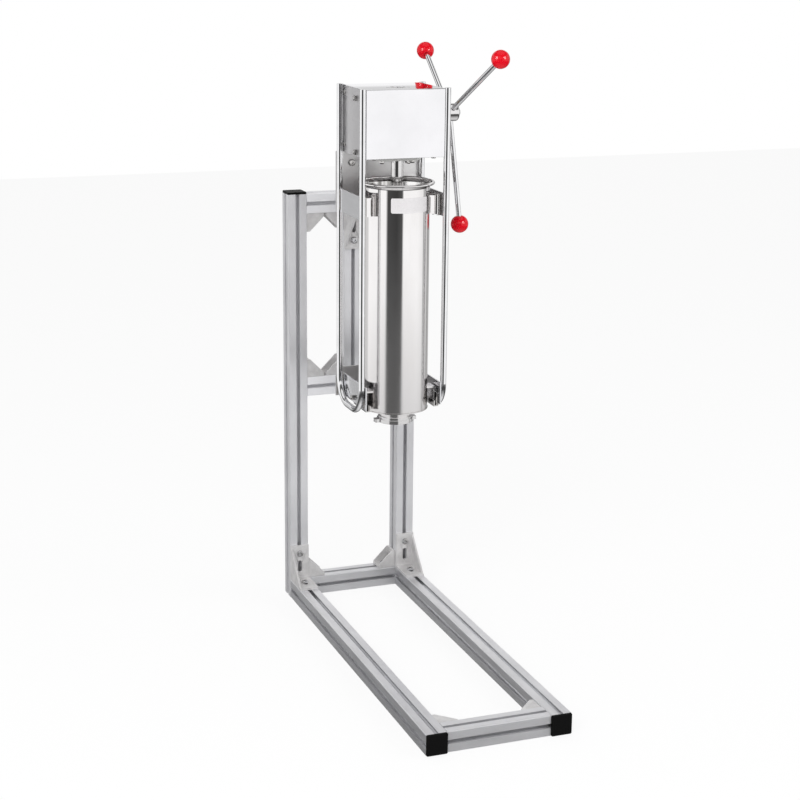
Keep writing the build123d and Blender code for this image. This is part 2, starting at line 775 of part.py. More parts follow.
lip_half = wall_inner - hood_lip_play
lip_span = (box_bottom + sheet, box_bottom + 2 * sheet)
with BuildPart() as gearbox_hood:
    block((-wall_outer, wall_outer), (-box_front, box_back), (box_bottom, box_top))
    upper_edges = gearbox_hood.faces().sort_by(Axis.Z)[-1].edges().filter_by(Axis.X)
    fillet(upper_edges, hood_round)
    block((-wall_outer, wall_outer), box_inside, (box_bottom, box_top - sheet), Mode.SUBTRACT)
    block((-lip_half, lip_half), (box_inside[0], box_inside[0] + hood_lip), lip_span)
    block((-lip_half, lip_half), (box_inside[1] - hood_lip, box_inside[1]), lip_span)
    for sign in (-1, 1):
        for y in (box_inside[0] + hood_lip / 2, box_inside[1] - hood_lip / 2):
            hood_hole = upward(sign * hood_screw_offset, y, box_bottom + sheet)
            round_bar(hood_hole, small_screw / 2, sheet, Mode.SUBTRACT)
        for height in ear_heights:
            notch_span = (height - ear_height / 2, height + ear_height / 2)
            wall_span = (sign * wall_inner, sign * wall_outer)
            block(wall_span, (box_back - sheet, box_back), notch_span, Mode.SUBTRACT)
            flange_span = (sign * (wall_inner - sheet), sign * wall_inner)
            block(flange_span, (box_inside[1] - hood_lip, box_inside[1]), notch_span)
            wall_hole = outward(sign, wall_inner - sheet, wall_screw_back, height)
            round_bar(wall_hole, small_screw / 2, sheet, Mode.SUBTRACT)
        guide_hole = upward(sign * upper_guide_screw, 0, box_top - sheet)
        round_bar(guide_hole, small_screw / 2, sheet, Mode.SUBTRACT)
    rack_hole = rack_radius + rack_hole_play
    round_bar(upward(0, 0, box_top - sheet), rack_hole, sheet, Mode.SUBTRACT)
hand_over(gearbox_hood, "gearbox_hood")


# ================================================================ box screws
def small_button_screw(length):
    """An M5 button-head screw that stands on its head's seat."""
    with BuildPart() as screw:
        round_bar(Plane.XY, small_screw_head / 2, small_screw_head_height)
        fillet(screw.faces().sort_by(Axis.Z)[-1].edges(), small_screw_head_round)
        hexagon_bar(level(small_screw_head_height), small_socket, -small_socket_depth, Mode.SUBTRACT)
        round_bar(Plane.XY, small_screw / 2, -length)
    return screw.part


def domed_bolt(length):
    """An M6 hexagon bolt with a domed head."""
    with BuildPart() as bolt:
        hexagon_bar(Plane.XY, hex_across, hex_flat_height)
        round_bar(level(hex_flat_height), hex_dome_diameter / 2, hex_dome_height)
        fillet(bolt.faces().sort_by(Axis.Z)[-1].edges(), hex_dome_round)
        round_bar(Plane.XY, hex_bolt / 2, -length)
    return bolt.part


hood_screw = small_button_screw(2 * sheet)
guide_screw = small_button_screw(sheet + guide_block)
with BuildPart() as box_screws:
    for sign in (-1, 1):
        hood_spots = [box_inside[0] + hood_lip / 2, box_inside[1] - hood_lip / 2]
        with Locations(*[downward(sign * hood_screw_offset, y, box_bottom) for y in hood_spots]):
            add(hood_screw)
        with Locations(*[outward(sign, wall_outer, wall_screw_back, z) for z in ear_heights]):
            add(hood_screw)
        with Locations(downward(sign * upper_guide_screw, 0, upper_guide_bottom)):
            add(guide_screw)
hand_over(box_screws, "box_screws")

side_bolt = domed_bolt(sheet + bearing_plate)
guide_bolt = domed_bolt(guide_block + sheet)
cradle_bolt = domed_bolt(side_plate + cradle_sheet)
with BuildPart() as hex_bolts:
    for sign in (-1, 1):
        with Locations(*[outward(sign, wall_outer, side_bolt_back, z) for z in side_bolt_heights]):
            add(side_bolt)
        with Locations(downward(sign * lower_guide_screw, 0, box_bottom - guide_block)):
            add(guide_bolt)
        with Locations(outward(sign, lower_outer, cradle_bolt_back, cradle_bolt_height)):
            add(cradle_bolt)
hand_over(hex_bolts, "hex_bolts")

# ================================================================ bearings
plate_heights = (box_bottom + sheet, box_top - sheet - bearing_headroom)
with BuildPart() as bearing_plates:
    for sign in (-1, 1):
        block((sign * bearing_face, sign * wall_inner), (-bearing_front, bearing_back), plate_heights)
        shaft_hole = outward(sign, bearing_face, shaft_back, shaft_height)
        round_bar(shaft_hole, bush_radius, bearing_plate, Mode.SUBTRACT)
        for height in side_bolt_heights:
            bolt_hole = outward(sign, bearing_face, side_bolt_back, height)
            round_bar(bolt_hole, hex_bolt / 2, bearing_plate, Mode.SUBTRACT)
hand_over(bearing_plates, "bearing_plates")

bush_lengths = {-1: bearing_plate, 1: bearing_plate + sheet + bush_stand_out}
with BuildPart() as shaft_bushes:
    for sign, bush_length in bush_lengths.items():
        flange_plane = outward(sign, bearing_face - bush_flange, shaft_back, shaft_height)
        round_bar(flange_plane, bush_rim, bush_flange)
        round_bar(flange_plane, bush_radius, bush_flange + bush_length)
        bore = shaft_radius + running_clearance
        round_bar(flange_plane, bore, bush_flange + bush_length, Mode.SUBTRACT)
hand_over(shaft_bushes, "shaft_bushes")

# ================================================================ rack guides
with BuildPart() as lower_rack_guide:
    half_width, half_depth = lower_guide_width / 2, lower_guide_depth / 2
    guide_span = (box_bottom - guide_block, box_bottom)
    block((-half_width, half_width), (-half_depth, half_depth), guide_span)
    round_bar(upward(0, 0, box_bottom), lower_collar, guide_collar)
    guide_length = guide_block + guide_collar
    round_bar(upward(0, 0, box_bottom - guide_block), guide_bore, guide_length, Mode.SUBTRACT)
    for sign in (-1, 1):
        bolt_hole = upward(sign * lower_guide_screw, 0, box_bottom - guide_block)
        round_bar(bolt_hole, hex_bolt / 2, guide_block, Mode.SUBTRACT)
hand_over(lower_rack_guide, "lower_rack_guide")

with BuildPart() as upper_rack_guide:
    half_width, half_depth = upper_guide_width / 2, upper_guide_depth / 2
    guide_span = (upper_guide_bottom, box_top - sheet)
    block((-half_width, half_width), (-half_depth, half_depth), guide_span)
    round_bar(upward(0, 0, upper_guide_bottom), guide_bore, guide_block, Mode.SUBTRACT)
    for sign in (-1, 1):
        screw_hole_plane = upward(sign * upper_guide_screw, 0, upper_guide_bottom)
        round_bar(screw_hole_plane, small_screw / 2, guide_block, Mode.SUBTRACT)
hand_over(upper_rack_guide, "upper_rack_guide")

# ================================================================ handle shaft
key_bottom = shaft_height + shaft_radius - key_in_shaft
key_half = key_width / 2
key_span = (-key_length / 2, key_length / 2)
ring_inner = bearing_face - bush_flange - running_clearance
with BuildPart() as handle_shaft:
    round_bar(rightward(shaft_left, shaft_back, shaft_height), shaft_radius, shaft_right - shaft_left)
    key_heights = (key_bottom, key_bottom + key_height)
    block(key_span, (shaft_back - key_half, shaft_back + key_half), key_heights, Mode.SUBTRACT)
    for sign in (-1, 1):
        with BuildSketch(outward(sign, ring_inner - ring_thickness, shaft_back, shaft_height)):
            Circle(shaft_radius)
            Circle(shaft_radius - ring_groove, mode=Mode.SUBTRACT)
        extrude(amount=ring_thickness, mode=Mode.SUBTRACT)
    screw_hole_plane = rightward(shaft_right, shaft_back, shaft_height)
    round_bar(screw_hole_plane, screw_diameter / 2, hub_floor - hub_screw_length, Mode.SUBTRACT)
hand_over(handle_shaft, "handle_shaft")

with BuildPart() as shaft_rings:
    for sign in (-1, 1):
        ring_plane = outward(sign, ring_inner - ring_thickness, shaft_back, shaft_height)
        round_bar(ring_plane, shaft_radius + ring_rim, ring_thickness)
        round_bar(ring_plane, shaft_radius - ring_groove, ring_thickness, Mode.SUBTRACT)
hand_over(shaft_rings, "shaft_rings")

with BuildPart() as pinion_key:
    block(key_span, (shaft_back - key_half, shaft_back + key_half), (key_bottom, key_bottom + key_height))
hand_over(pinion_key, "pinion_key")

# ================================================================ pinion
tooth_thickness = tooth_pitch / 2 - backlash / 2


def involute(angle):
    return tan(angle) - angle


def half_tooth(radius):
    """Angle from a tooth's middle to its flank at a radius."""
    at_pitch = tooth_thickness / (2 * pitch_radius) + involute(radians(pressure_angle))
    return at_pitch - involute(acos(min(1, pinion_base / radius)))


def around(radius, angle):
    """Point at an angle from the front, where the pinion meets the rack."""
    return (-radius * cos(angle), radius * sin(angle))


flank_step = (pinion_outer - pinion_base) / flank_steps
flank_radii = [pinion_base + flank_step * step for step in range(flank_steps + 1)]
pinion_outline = []
for tooth in range(pinion_teeth):
    middle = 2 * pi * tooth / pinion_teeth
    pinion_outline.append(around(pinion_root, middle - half_tooth(pinion_base)))
    for radius in flank_radii:
        pinion_outline.append(around(radius, middle - half_tooth(radius)))
    for radius in reversed(flank_radii):
        pinion_outline.append(around(radius, middle + half_tooth(radius)))
    pinion_outline.append(around(pinion_root, middle + half_tooth(pinion_base)))

with BuildPart() as pinion:
    with BuildSketch(rightward(-pinion_face / 2, shaft_back, shaft_height)):
        Polygon(*pinion_outline, align=None)
    extrude(amount=pinion_face)
    round_bar(rightward(pinion_face / 2, shaft_back, shaft_height), pinion_hub / 2, pinion_hub_length)
    pinion_length = pinion_face + pinion_hub_length
    pinion_bore = rightward(-pinion_face / 2, shaft_back, shaft_height)
    round_bar(pinion_bore, shaft_radius, pinion_length, Mode.SUBTRACT)
    key_heights = (shaft_height, key_bottom + key_height)
    keyway_span = (-pinion_face / 2, pinion_face / 2 + pinion_hub_length)
    block(keyway_span, (shaft_back - key_half, shaft_back + key_half), key_heights, Mode.SUBTRACT)
hand_over(pinion, "pinion")

# ================================================================ rack
slope = tan(radians(pressure_angle))
gap_at_pitch = (tooth_pitch + backlash) / 4
gap_at_tip = gap_at_pitch + gear_module * slope
root_depth = gear_module * (1 + tip_clearance)
gap_at_root = gap_at_pitch - root_depth * slope
rack_root = pitch_line - root_depth
gap_steps = range(-rack_teeth_below, rack_teeth_above + 1)
gap_heights = [shaft_height + tooth_pitch * step for step in gap_steps]
with BuildPart() as rack:
    round_bar(upward(0, 0, rack_bottom), rack_radius, rack_top - rack_bottom)
    chamfer(rack.faces().sort_by(Axis.Z)[-1].edges(), rack_chamfer)
    centre_hole_bottom = rack_top - rack_centre_depth
    round_bar(upward(0, 0, centre_hole_bottom), rack_centre_hole / 2, rack_centre_depth, Mode.SUBTRACT)
    flat_bottom = gap_heights[0] - tooth_pitch / 2
    block((-rack_radius, rack_radius), (rack_flat, rack_radius), (flat_bottom, rack_top), Mode.SUBTRACT)
    with BuildSketch(facing_right(mid_x - rack_radius)):
        for height in gap_heights:
            with Locations((axis_y, height)):
                Polygon(
                    (rack_flat, -gap_at_tip), (rack_flat, gap_at_tip),
                    (rack_root, gap_at_root), (rack_root, -gap_at_root), align=None,
                )
    extrude(amount=rack_diameter, mode=Mode.SUBTRACT)
    round_bar(upward(0, 0, rack_bottom), stud_diameter / 2, piston_bottom + stud_end - rack_bottom)
hand_over(rack, "rack")

# ================================================================ piston
seal_bottom = piston_bottom + (piston_thickness - seal_height) / 2
seal_inner = bore_radius - seal_gap - seal_depth
nut_top_height = piston_bottom + piston_pocket_depth
with BuildPart() as piston:
    round_bar(upward(0, 0, piston_bottom), bore_radius - piston_gap, piston_thickness)
    round_bar(upward(0, 0, piston_top), piston_boss, piston_boss_height)
    round_bar(upward(0, 0, piston_bottom), stud_diameter / 2, rack_bottom - piston_bottom, Mode.SUBTRACT)
    round_bar(upward(0, 0, piston_bottom), piston_pocket, piston_pocket_depth, Mode.SUBTRACT)
    with BuildSketch(level(seal_bottom)):
        with Locations((mid_x, axis_y)):
            Circle(bore_radius)
            Circle(seal_inner, mode=Mode.SUBTRACT)
    extrude(amount=seal_height, mode=Mode.SUBTRACT)
    valve_hole = upward(0, -valve_offset, piston_bottom)
    round_bar(valve_hole, valve_stem, piston_thickness, Mode.SUBTRACT)
hand_over(piston, "piston")

with BuildPart() as piston_seal:
    round_bar(upward(0, 0, seal_bottom), bore_radius - seal_gap, seal_height)
    round_bar(upward(0, 0, seal_bottom), seal_inner, seal_height, Mode.SUBTRACT)
hand_over(piston_seal, "piston_seal")

with BuildPart() as piston_nut:
    hexagon_bar(upward(0, 0, nut_top_height), piston_nut_across, -piston_nut_height)
    round_bar(upward(0, 0, nut_top_height), stud_diameter / 2, -piston_nut_height, Mode.SUBTRACT)
hand_over(piston_nut, "piston_nut")

with BuildPart() as air_valve:
    round_bar(upward(0, -valve_offset, piston_bottom), valve_stem, piston_thickness)
    round_bar(upward(0, -valve_offset, piston_top), valve_radius, valve_height)
    fillet(air_valve.faces().sort_by(Axis.Z)[-1].edges(), valve_round)
hand_over(air_valve, "air_valve")

# ================================================================ handle
hub_plane = rightward(hub_inner, shaft_back, shaft_height)
spoke_planes = []
for spoke in range(spoke_count):
    turn = radians(spoke_phase + 360 * spoke / spoke_count)
    lean = radians(spoke_splay)
    direction = (sin(lean), cos(lean) * cos(turn), cos(lean) * sin(turn))
    sideways = (cos(lean), -sin(lean) * cos(turn), -sin(lean) * sin(turn))
    spoke_centre = (mid_x + hub_middle, axis_y + shaft_back, shaft_height)
    spoke_planes.append(Plane(spoke_centre, x_dir=sideways, z_dir=direction))
spoke_start = spoke_root / cos(radians(spoke_splay))
knob_distance = knob_circle / cos(radians(spoke_splay))
spoke_length = knob_distance - knob_seat - spoke_start

with BuildPart() as handle_hub:
    round_bar(hub_plane, hub_diameter / 2, hub_length)
    fillet(handle_hub.faces().sort_by(Axis.X)[-1].edges(), hub_round)
    round_bar(hub_plane, shaft_radius, hub_length - hub_floor, Mode.SUBTRACT)
    round_bar(hub_plane, screw_diameter / 2, hub_length, Mode.SUBTRACT)
    for spoke_plane in spoke_planes:
        round_bar(spoke_plane.offset(spoke_start), spoke_diameter / 2, hub_diameter, Mode.SUBTRACT)
hand_over(handle_hub, "handle_hub")

with BuildPart() as spokes:
    for spoke_plane in spoke_planes:
        round_bar(spoke_plane.offset(spoke_start), spoke_diameter / 2, spoke_length)
hand_over(spokes, "spokes")

with BuildPart() as knobs:
    with Locations(*[plane.offset(knob_distance) for plane in spoke_planes]):
        Sphere(knob_radius)
    for spoke_plane in spoke_planes:
        seat_plane = spoke_plane.offset(knob_distance - knob_seat)
        round_bar(seat_plane, spoke_diameter / 2 + knob_fit, -knob_radius, Mode.SUBTRACT)
hand_over(knobs, "knobs")

hub_end = hub_inner + hub_length
with BuildPart() as hub_screw:
    with Locations(rightward(hub_end, shaft_back, shaft_height)):
        add(button_screw(hub_screw_length))
hand_over(hub_screw, "hub_screw")

# ================================================================ cylinder
foot_radius = cylinder_radius + cylinder_foot
floor_top = cylinder_bottom + cylinder_floor
flare_start = rim_height - rim_flare
neck_inner = neck_radius - neck_wall
hook_bottom = cradle_floor + hook_play
with BuildPart() as cylinder_lugs:
    for sign in (-1, 1):
        lug_depth = (lug_back - lug_sheet / 2, lug_back + lug_sheet / 2)
        block((0, sign * lug_offset), lug_depth, (lug_top - lug_height, lug_top))
        round_bar(upward(sign * lug_offset, lug_back, lug_top), lug_bead, -lug_height)
        hook_depth = (hook_back - hook_width / 2, hook_back + hook_width / 2)
        block((0, sign * hook_outer), hook_depth, (hook_top - hook_sheet, hook_top))
        hook_inner = hook_outer - hook_sheet
        block((sign * hook_inner, sign * hook_outer), hook_depth, (hook_bottom, hook_top))
    tube_length = rim_height - cylinder_bottom
    round_bar(upward(0, 0, cylinder_bottom), cylinder_radius, tube_length, Mode.SUBTRACT)
hand_over(cylinder_lugs, "cylinder_lugs")

with BuildPart() as cylinder_floor_plate:
    with BuildSketch(facing_front(axis_y)):
        with Locations((mid_x, 0)):
            Polygon(
                (neck_inner, neck_bottom), (neck_radius, neck_bottom), (neck_radius, cylinder_bottom),
                (foot_radius, cylinder_bottom), (foot_radius, floor_top), (neck_inner, floor_top), align=None,
            )
    revolve(axis=machine_axis)
hand_over(cylinder_floor_plate, "cylinder_floor")

with BuildPart() as cylinder:
    with BuildSketch(facing_front(axis_y)):
        with Locations((mid_x, 0)):
            Polygon(
                (bore_radius, floor_top), (cylinder_radius, floor_top), (cylinder_radius, flare_start),
                (rim_reach, rim_height - cylinder_wall), (rim_reach, rim_height),
                (bore_radius, flare_start + cylinder_wall), align=None,
            )
        with Locations((mid_x + rim_reach, rim_height)):
            Circle(rim_bead)
    revolve(axis=machine_axis)
hand_over(cylinder, "cylinder")

label_start = radians(label_turn - 90 - label_span / 2)
label_middle = cylinder_radius + label_glue + label_thickness / 2
with BuildPart() as cylinder_label:
    label_plane = Plane(
        (mid_x, axis_y, label_bottom + label_height / 2),
        x_dir=(cos(label_start), sin(label_start), 0),
        z_dir=(sin(label_start), -cos(label_start), 0),
    )
    with BuildSketch(label_plane):
        with Locations((label_middle, 0)):
            Rectangle(label_thickness, label_height)
    revolve(axis=machine_axis, revolution_arc=label_span)
hand_over(cylinder_label, "cylinder_label")

# ================================================================ spring clips
clip_inner = lug_bead + clip_play
clip_outer = clip_inner + clip_wall
clip_top = lug_top + (clip_height - lug_height) / 2
pad_outer = rod_offset - side_plate / 2
with BuildPart() as spring_clips:
    for sign in (-1, 1):
        clip_plane = upward(sign * lug_offset, lug_back, clip_top)
        round_bar(clip_plane, clip_outer, -clip_height)
        pad_inner = lug_offset + clip_inner
        pad_depth = (lug_back - clip_pad / 2, lug_back + clip_pad / 2)
        block((sign * pad_inner, sign * pad_outer), pad_depth, (clip_top - clip_height, clip_top))
        round_bar(clip_plane, clip_inner, -clip_height, Mode.SUBTRACT)
        with BuildSketch(clip_plane):
            mouth_points = [(0, 0)]
            for edge in (-0.5, 0.5):
                turn = radians(clip_turn + edge * clip_mouth)
                mouth_points.append((-sign * 2 * clip_outer * cos(turn), -2 * clip_outer * sin(turn)))
            Polygon(*mouth_points, align=None)
        extrude(amount=-clip_height, mode=Mode.SUBTRACT)
hand_over(spring_clips, "spring_clips")

# ================================================================ cradles
cradle_outer = lower_inner
with BuildPart() as cradles:
    for sign in (-1, 1):
        leg_span = (sign * (cradle_outer - cradle_sheet), sign * cradle_outer)
        leg_depth = (-cradle_front, cradle_length - cradle_front)
        leg_bottom = cradle_floor - cradle_sheet
        block(leg_span, leg_depth, (leg_bottom, leg_bottom + cradle_leg))
        ledge_depth = (-cradle_front, cradle_ledge - cradle_front)
        block((sign * cradle_inner, sign * cradle_outer), ledge_depth, (leg_bottom, cradle_floor))
        lip_span = (sign * cradle_inner, sign * (cradle_inner + cradle_sheet))
        block(lip_span, ledge_depth, (leg_bottom, cradle_floor + cradle_lip))
        bolt_hole = outward(sign, cradle_outer - cradle_sheet, cradle_bolt_back, cradle_bolt_height)
        round_bar(bolt_hole, hex_bolt / 2, cradle_sheet, Mode.SUBTRACT)
hand_over(cradles, "cradles")

# ================================================================ outlet
with BuildPart() as outlet_ring:
    round_bar(upward(0, 0, outlet_bottom), outlet_radius, outlet_flange)
    round_bar(upward(0, 0, outlet_bottom), outlet_collar, outlet_height)
    wing_top = outlet_bottom + wing_height
    wing_half = wing_width / 2
    block((-wing_reach, wing_reach), (-wing_half, wing_half), (outlet_bottom, wing_top))
    wing_edges = outlet_ring.edges().filter_by(Axis.Z).group_by(Axis.X)
    fillet(wing_edges[0] + wing_edges[-1], wing_round)
    round_bar(upward(0, 0, outlet_bottom), outlet_opening, outlet_lip, Mode.SUBTRACT)
    thread_radius = neck_radius + outlet_thread_play
    round_bar(upward(0, 0, outlet_seat), thread_radius, outlet_height - outlet_lip, Mode.SUBTRACT)
hand_over(outlet_ring, "outlet_ring")

star_points = []
for corner_index in range(2 * die_points):
    star_radius = die_outer if corner_index % 2 == 0 else die_inner
    turn = pi * corner_index / die_points
    star_points.append((star_radius * cos(turn), star_radius * sin(turn)))
with BuildPart() as star_die:
    round_bar(upward(0, 0, outlet_seat), die_radius, die_thickness)
    with BuildSketch(upward(0, 0, outlet_seat)):
        Polygon(*star_points, align=None)
    extrude(amount=die_thickness, mode=Mode.SUBTRACT)
hand_over(star_die, "star_die")

with BuildPart() as outlet_gasket:
    gasket_plane = upward(0, 0, outlet_seat + die_thickness)
    round_bar(gasket_plane, die_radius, gasket_thickness)
    round_bar(gasket_plane, gasket_opening, gasket_thickness, Mode.SUBTRACT)
hand_over(outlet_gasket, "outlet_gasket")
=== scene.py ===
# %% [markdown]
# # A hand-cranked churro press on its stand
# This lesson dresses a imported CAD model. The solids already have their true
# sizes and places, so the first cell only loads them as a fixed frame.

# %% Load the imported solids
from math import atan2, cos, pi, radians, sin, sqrt

import bmesh
import bpy
from mathutils import Matrix, Vector


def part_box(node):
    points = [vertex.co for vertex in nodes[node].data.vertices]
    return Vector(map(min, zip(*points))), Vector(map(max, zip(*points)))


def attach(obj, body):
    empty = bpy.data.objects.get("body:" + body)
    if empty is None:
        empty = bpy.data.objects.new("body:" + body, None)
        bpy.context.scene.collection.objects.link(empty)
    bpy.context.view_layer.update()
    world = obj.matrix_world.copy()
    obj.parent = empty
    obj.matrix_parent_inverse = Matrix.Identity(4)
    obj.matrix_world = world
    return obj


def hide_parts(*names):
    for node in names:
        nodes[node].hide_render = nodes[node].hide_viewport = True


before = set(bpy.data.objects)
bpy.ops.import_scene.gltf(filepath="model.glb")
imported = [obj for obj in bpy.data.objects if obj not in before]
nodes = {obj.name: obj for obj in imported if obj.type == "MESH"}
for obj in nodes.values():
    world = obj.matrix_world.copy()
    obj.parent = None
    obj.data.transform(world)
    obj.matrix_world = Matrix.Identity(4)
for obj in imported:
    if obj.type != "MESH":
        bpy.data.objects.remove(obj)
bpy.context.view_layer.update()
print("solids loaded:", len(nodes))

# %% [markdown]
# ## Where things are
# Most new pieces sit round the machine's upright axis or round the handle
# shaft. Both lines are read from the solids, so nothing is placed by eye.

# %% Read the main lines from the solids
MM = 0.001


def middle_of(node):
    """Middle of a solid's box."""
    low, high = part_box(node)
    return (low + high) / 2


seal_middle = middle_of("piston_seal")
axis_x, axis_y = seal_middle.x, seal_middle.y
shaft_middle = middle_of("handle_shaft")
post_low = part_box("left_post")[0]
print("machine axis:", round(axis_x, 4), round(axis_y, 4))
print("shaft height:", round(shaft_middle.z, 4))

# %% [markdown]
# ## The camera
# The photograph was measured against the stand's straight bars. That gave the
# camera's place, its turn and the focal length of 1768 pixels on an 800-pixel
# picture. The place is written relative to the left post's lower front corner.

# %% Place the camera
PICTURE_WIDTH = 800
FOCAL_PIXELS = 1768
SENSOR = 36.0
CAMERA_FROM_POST = Vector((-1.044, -3.419, 1.402))
CAMERA_AZIMUTH = radians(20.69)
CAMERA_PITCH = radians(15.06)
CAMERA_ROLL = radians(-0.58)

forward = Vector((
    sin(CAMERA_AZIMUTH) * cos(CAMERA_PITCH),
    cos(CAMERA_AZIMUTH) * cos(CAMERA_PITCH),
    -sin(CAMERA_PITCH),
))
level_right = Vector((cos(CAMERA_AZIMUTH), -sin(CAMERA_AZIMUTH), 0))
level_down = forward.cross(level_right)
camera_right = level_right * cos(CAMERA_ROLL) + level_down * sin(CAMERA_ROLL)
camera_down = level_down * cos(CAMERA_ROLL) - level_right * sin(CAMERA_ROLL)

camera_data = bpy.data.cameras.new("photo_camera")
camera_data.sensor_width = SENSOR
camera_data.lens = FOCAL_PIXELS * SENSOR / PICTURE_WIDTH
camera = bpy.data.objects.new("photo_camera", camera_data)
bpy.context.scene.collection.objects.link(camera)
turn = Matrix((camera_right, -camera_down, -forward)).transposed()
camera.matrix_world = Matrix.Translation(post_low + CAMERA_FROM_POST) @ turn.to_4x4()
bpy.context.scene.camera = camera
print("lens in mm:", round(camera_data.lens, 2))

# %% [markdown]
# ## The studio
# Polished steel shows its room more than itself. The room here is the world
# itself: plain white for the camera, an even light for matt surfaces, and for
# reflections a ring of broad white screens with dark gaps, which give round
# tubes their dark stripes. Above the screens the room is bright, then dark,
# then bright again overhead; below them lies dark ground, which is paler
# straight under the machine.

# %% Give the world its light
scene = bpy.context.scene
scene.view_settings.view_transform = "Standard"
EVEN_LIGHT = 0.62
# Stops of the reflected room: compass direction in degrees from +Y towards +X,
# and how bright the room is there.
ROOM_RING = (
    (0, 0.50), (12, 0.70), (28, 0.70), (36, 0.44), (56, 0.46), (60, 0.08), (64, 0.62), (86, 0.84),
    (90, 0.14), (94, 0.90), (120, 1.05), (176, 1.05), (181, 0.09), (200, 0.05), (232, 0.07),
    (239, 1.05), (314, 1.05), (320, 0.72), (341, 0.66), (345, 0.04), (354, 0.04), (358, 0.48),
)
# Further stops go by the sine of the height angle: first how far the ceiling
# has taken over from the ring and how bright it is, then, counted downward,
# the least brightness of the ring and the same two for the ground.
CEILING_SHARE = ((0.22, 0.0), (0.28, 1.0))
CEILING = ((0.28, 1.0), (0.48, 1.0), (0.54, 0.12), (0.80, 0.10), (0.88, 1.0), (1.0, 0.95))
LEAST_RING = ((0.22, 0.0), (0.32, 0.2))
GROUND_SHARE = ((0.25, 0.0), (0.34, 1.0))
GROUND = ((0.34, 0.22), (0.42, 0.06), (0.60, 0.08), (0.80, 0.40), (0.95, 0.8))


def link(tree, output, target):
    tree.links.new(output, target)


def maths(tree, operation, first, second=None):
    """A Math node: each input is a number or another node's output."""
    node = tree.nodes.new("ShaderNodeMath")
    node.operation = operation
    for place, value in enumerate((first, second)):
        if value is None:
            continue
        if isinstance(value, (int, float)):
            node.inputs[place].default_value = value
        else:
            link(tree, value, node.inputs[place])
    return node.outputs[0]


def ramp(tree, factor, stops):
    """A colour ramp: stops are (place, colour) with a grey number or a triple."""
    node = tree.nodes.new("ShaderNodeValToRGB")
    elements = node.color_ramp.elements
    while len(elements) < len(stops):
        elements.new(0.5)
    for element, (place, colour) in zip(elements, stops):
        element.position = place
        triple = (colour,) * 3 if isinstance(colour, (int, float)) else colour
        element.color = (*triple, 1)
    link(tree, factor, node.inputs[0])
    return node.outputs[0]


def blend_colours(tree, factor, first, second):
    """Go from the first colour to the second as the factor rises to 1."""
    # A Mix node has sockets for numbers and vectors too; 6, 7 and 2 are colours.
    node = tree.nodes.new("ShaderNodeMix")
    node.data_type = "RGBA"
    link(tree, factor, node.inputs["Factor"])
    link(tree, first, node.inputs[6])
    link(tree, second, node.inputs[7])
    return node.outputs[2]


def blend_shaders(tree, factor, first, second):
    """The same for two shaders."""
    node = tree.nodes.new("ShaderNodeMixShader")
    for place, value in enumerate((factor, first, second)):
        link(tree, value, node.inputs[place])
    return node.outputs[0]


def background(tree, brightness):
    """An even white light."""
    node = tree.nodes.new("ShaderNodeBackground")
    node.inputs[0].default_value = (1, 1, 1, 1)
    node.inputs[1].default_value = brightness
    return node.outputs[0]


world = bpy.data.worlds.new("studio")
scene.world = world
world.use_nodes = True
room = world.node_tree
room.nodes.clear()
room_output = room.nodes.new("ShaderNodeOutputWorld")
light_path = room.nodes.new("ShaderNodeLightPath")
direction = room.nodes.new("ShaderNodeTexCoord")
split = room.nodes.new("ShaderNodeSeparateXYZ")
link(room, direction.outputs["Generated"], split.inputs[0])
compass = maths(room, "ARCTAN2", split.outputs["X"], split.outputs["Y"])
compass = maths(room, "DIVIDE", compass, 2 * pi)
compass = maths(room, "FRACT", maths(room, "ADD", compass, 1.0))
ring = ramp(room, compass, [(place / 360, value) for place, value in ROOM_RING])
above = split.outputs["Z"]
below = maths(room, "MULTIPLY", above, -1)
ring = maths(room, "MAXIMUM", ring, ramp(room, below, LEAST_RING))
ceiling = ramp(room, above, CEILING)
ground = ramp(room, below, GROUND)
upper_room = blend_colours(room, ramp(room, above, CEILING_SHARE), ring, ceiling)
whole_room = blend_colours(room, ramp(room, below, GROUND_SHARE), upper_room, ground)

reflected = room.nodes.new("ShaderNodeBackground")
link(room, whole_room, reflected.inputs[0])
rays = light_path.outputs
is_seen = maths(room, "MAXIMUM", rays["Is Camera Ray"], rays["Is Transmission Ray"])
even = background(room, EVEN_LIGHT)
lighting = blend_shaders(room, rays["Is Glossy Ray"], even, reflected.outputs[0])
whole_world = blend_shaders(room, is_seen, lighting, background(room, 1.0))
link(room, whole_world, room_output.inputs[0])
print("world nodes:", len(room.nodes))

# %% [markdown]
# Two large soft lamps give form to the matt pieces: a key from the upper left
# front and a weaker fill from the right. They are big, so shadows stay soft.
# Two small softboxes are only seen in the reflections of the knobs, which
# light linking picks out: they put the two bright spots on each ball.

# %% Hang the lamps
# Name, place in metres, side in metres and watts.
LAMPS = (
    ("key_softbox", (-2.2, -2.4, 2.9), 2.4, 62),
    ("fill_softbox", (2.8, -1.2, 1.9), 2.2, 20),
    ("left_glint", (-1.65, -0.56, 1.75), 0.9, 34),
    ("right_glint", (1.11, -1.56, 1.75), 0.9, 34),
)
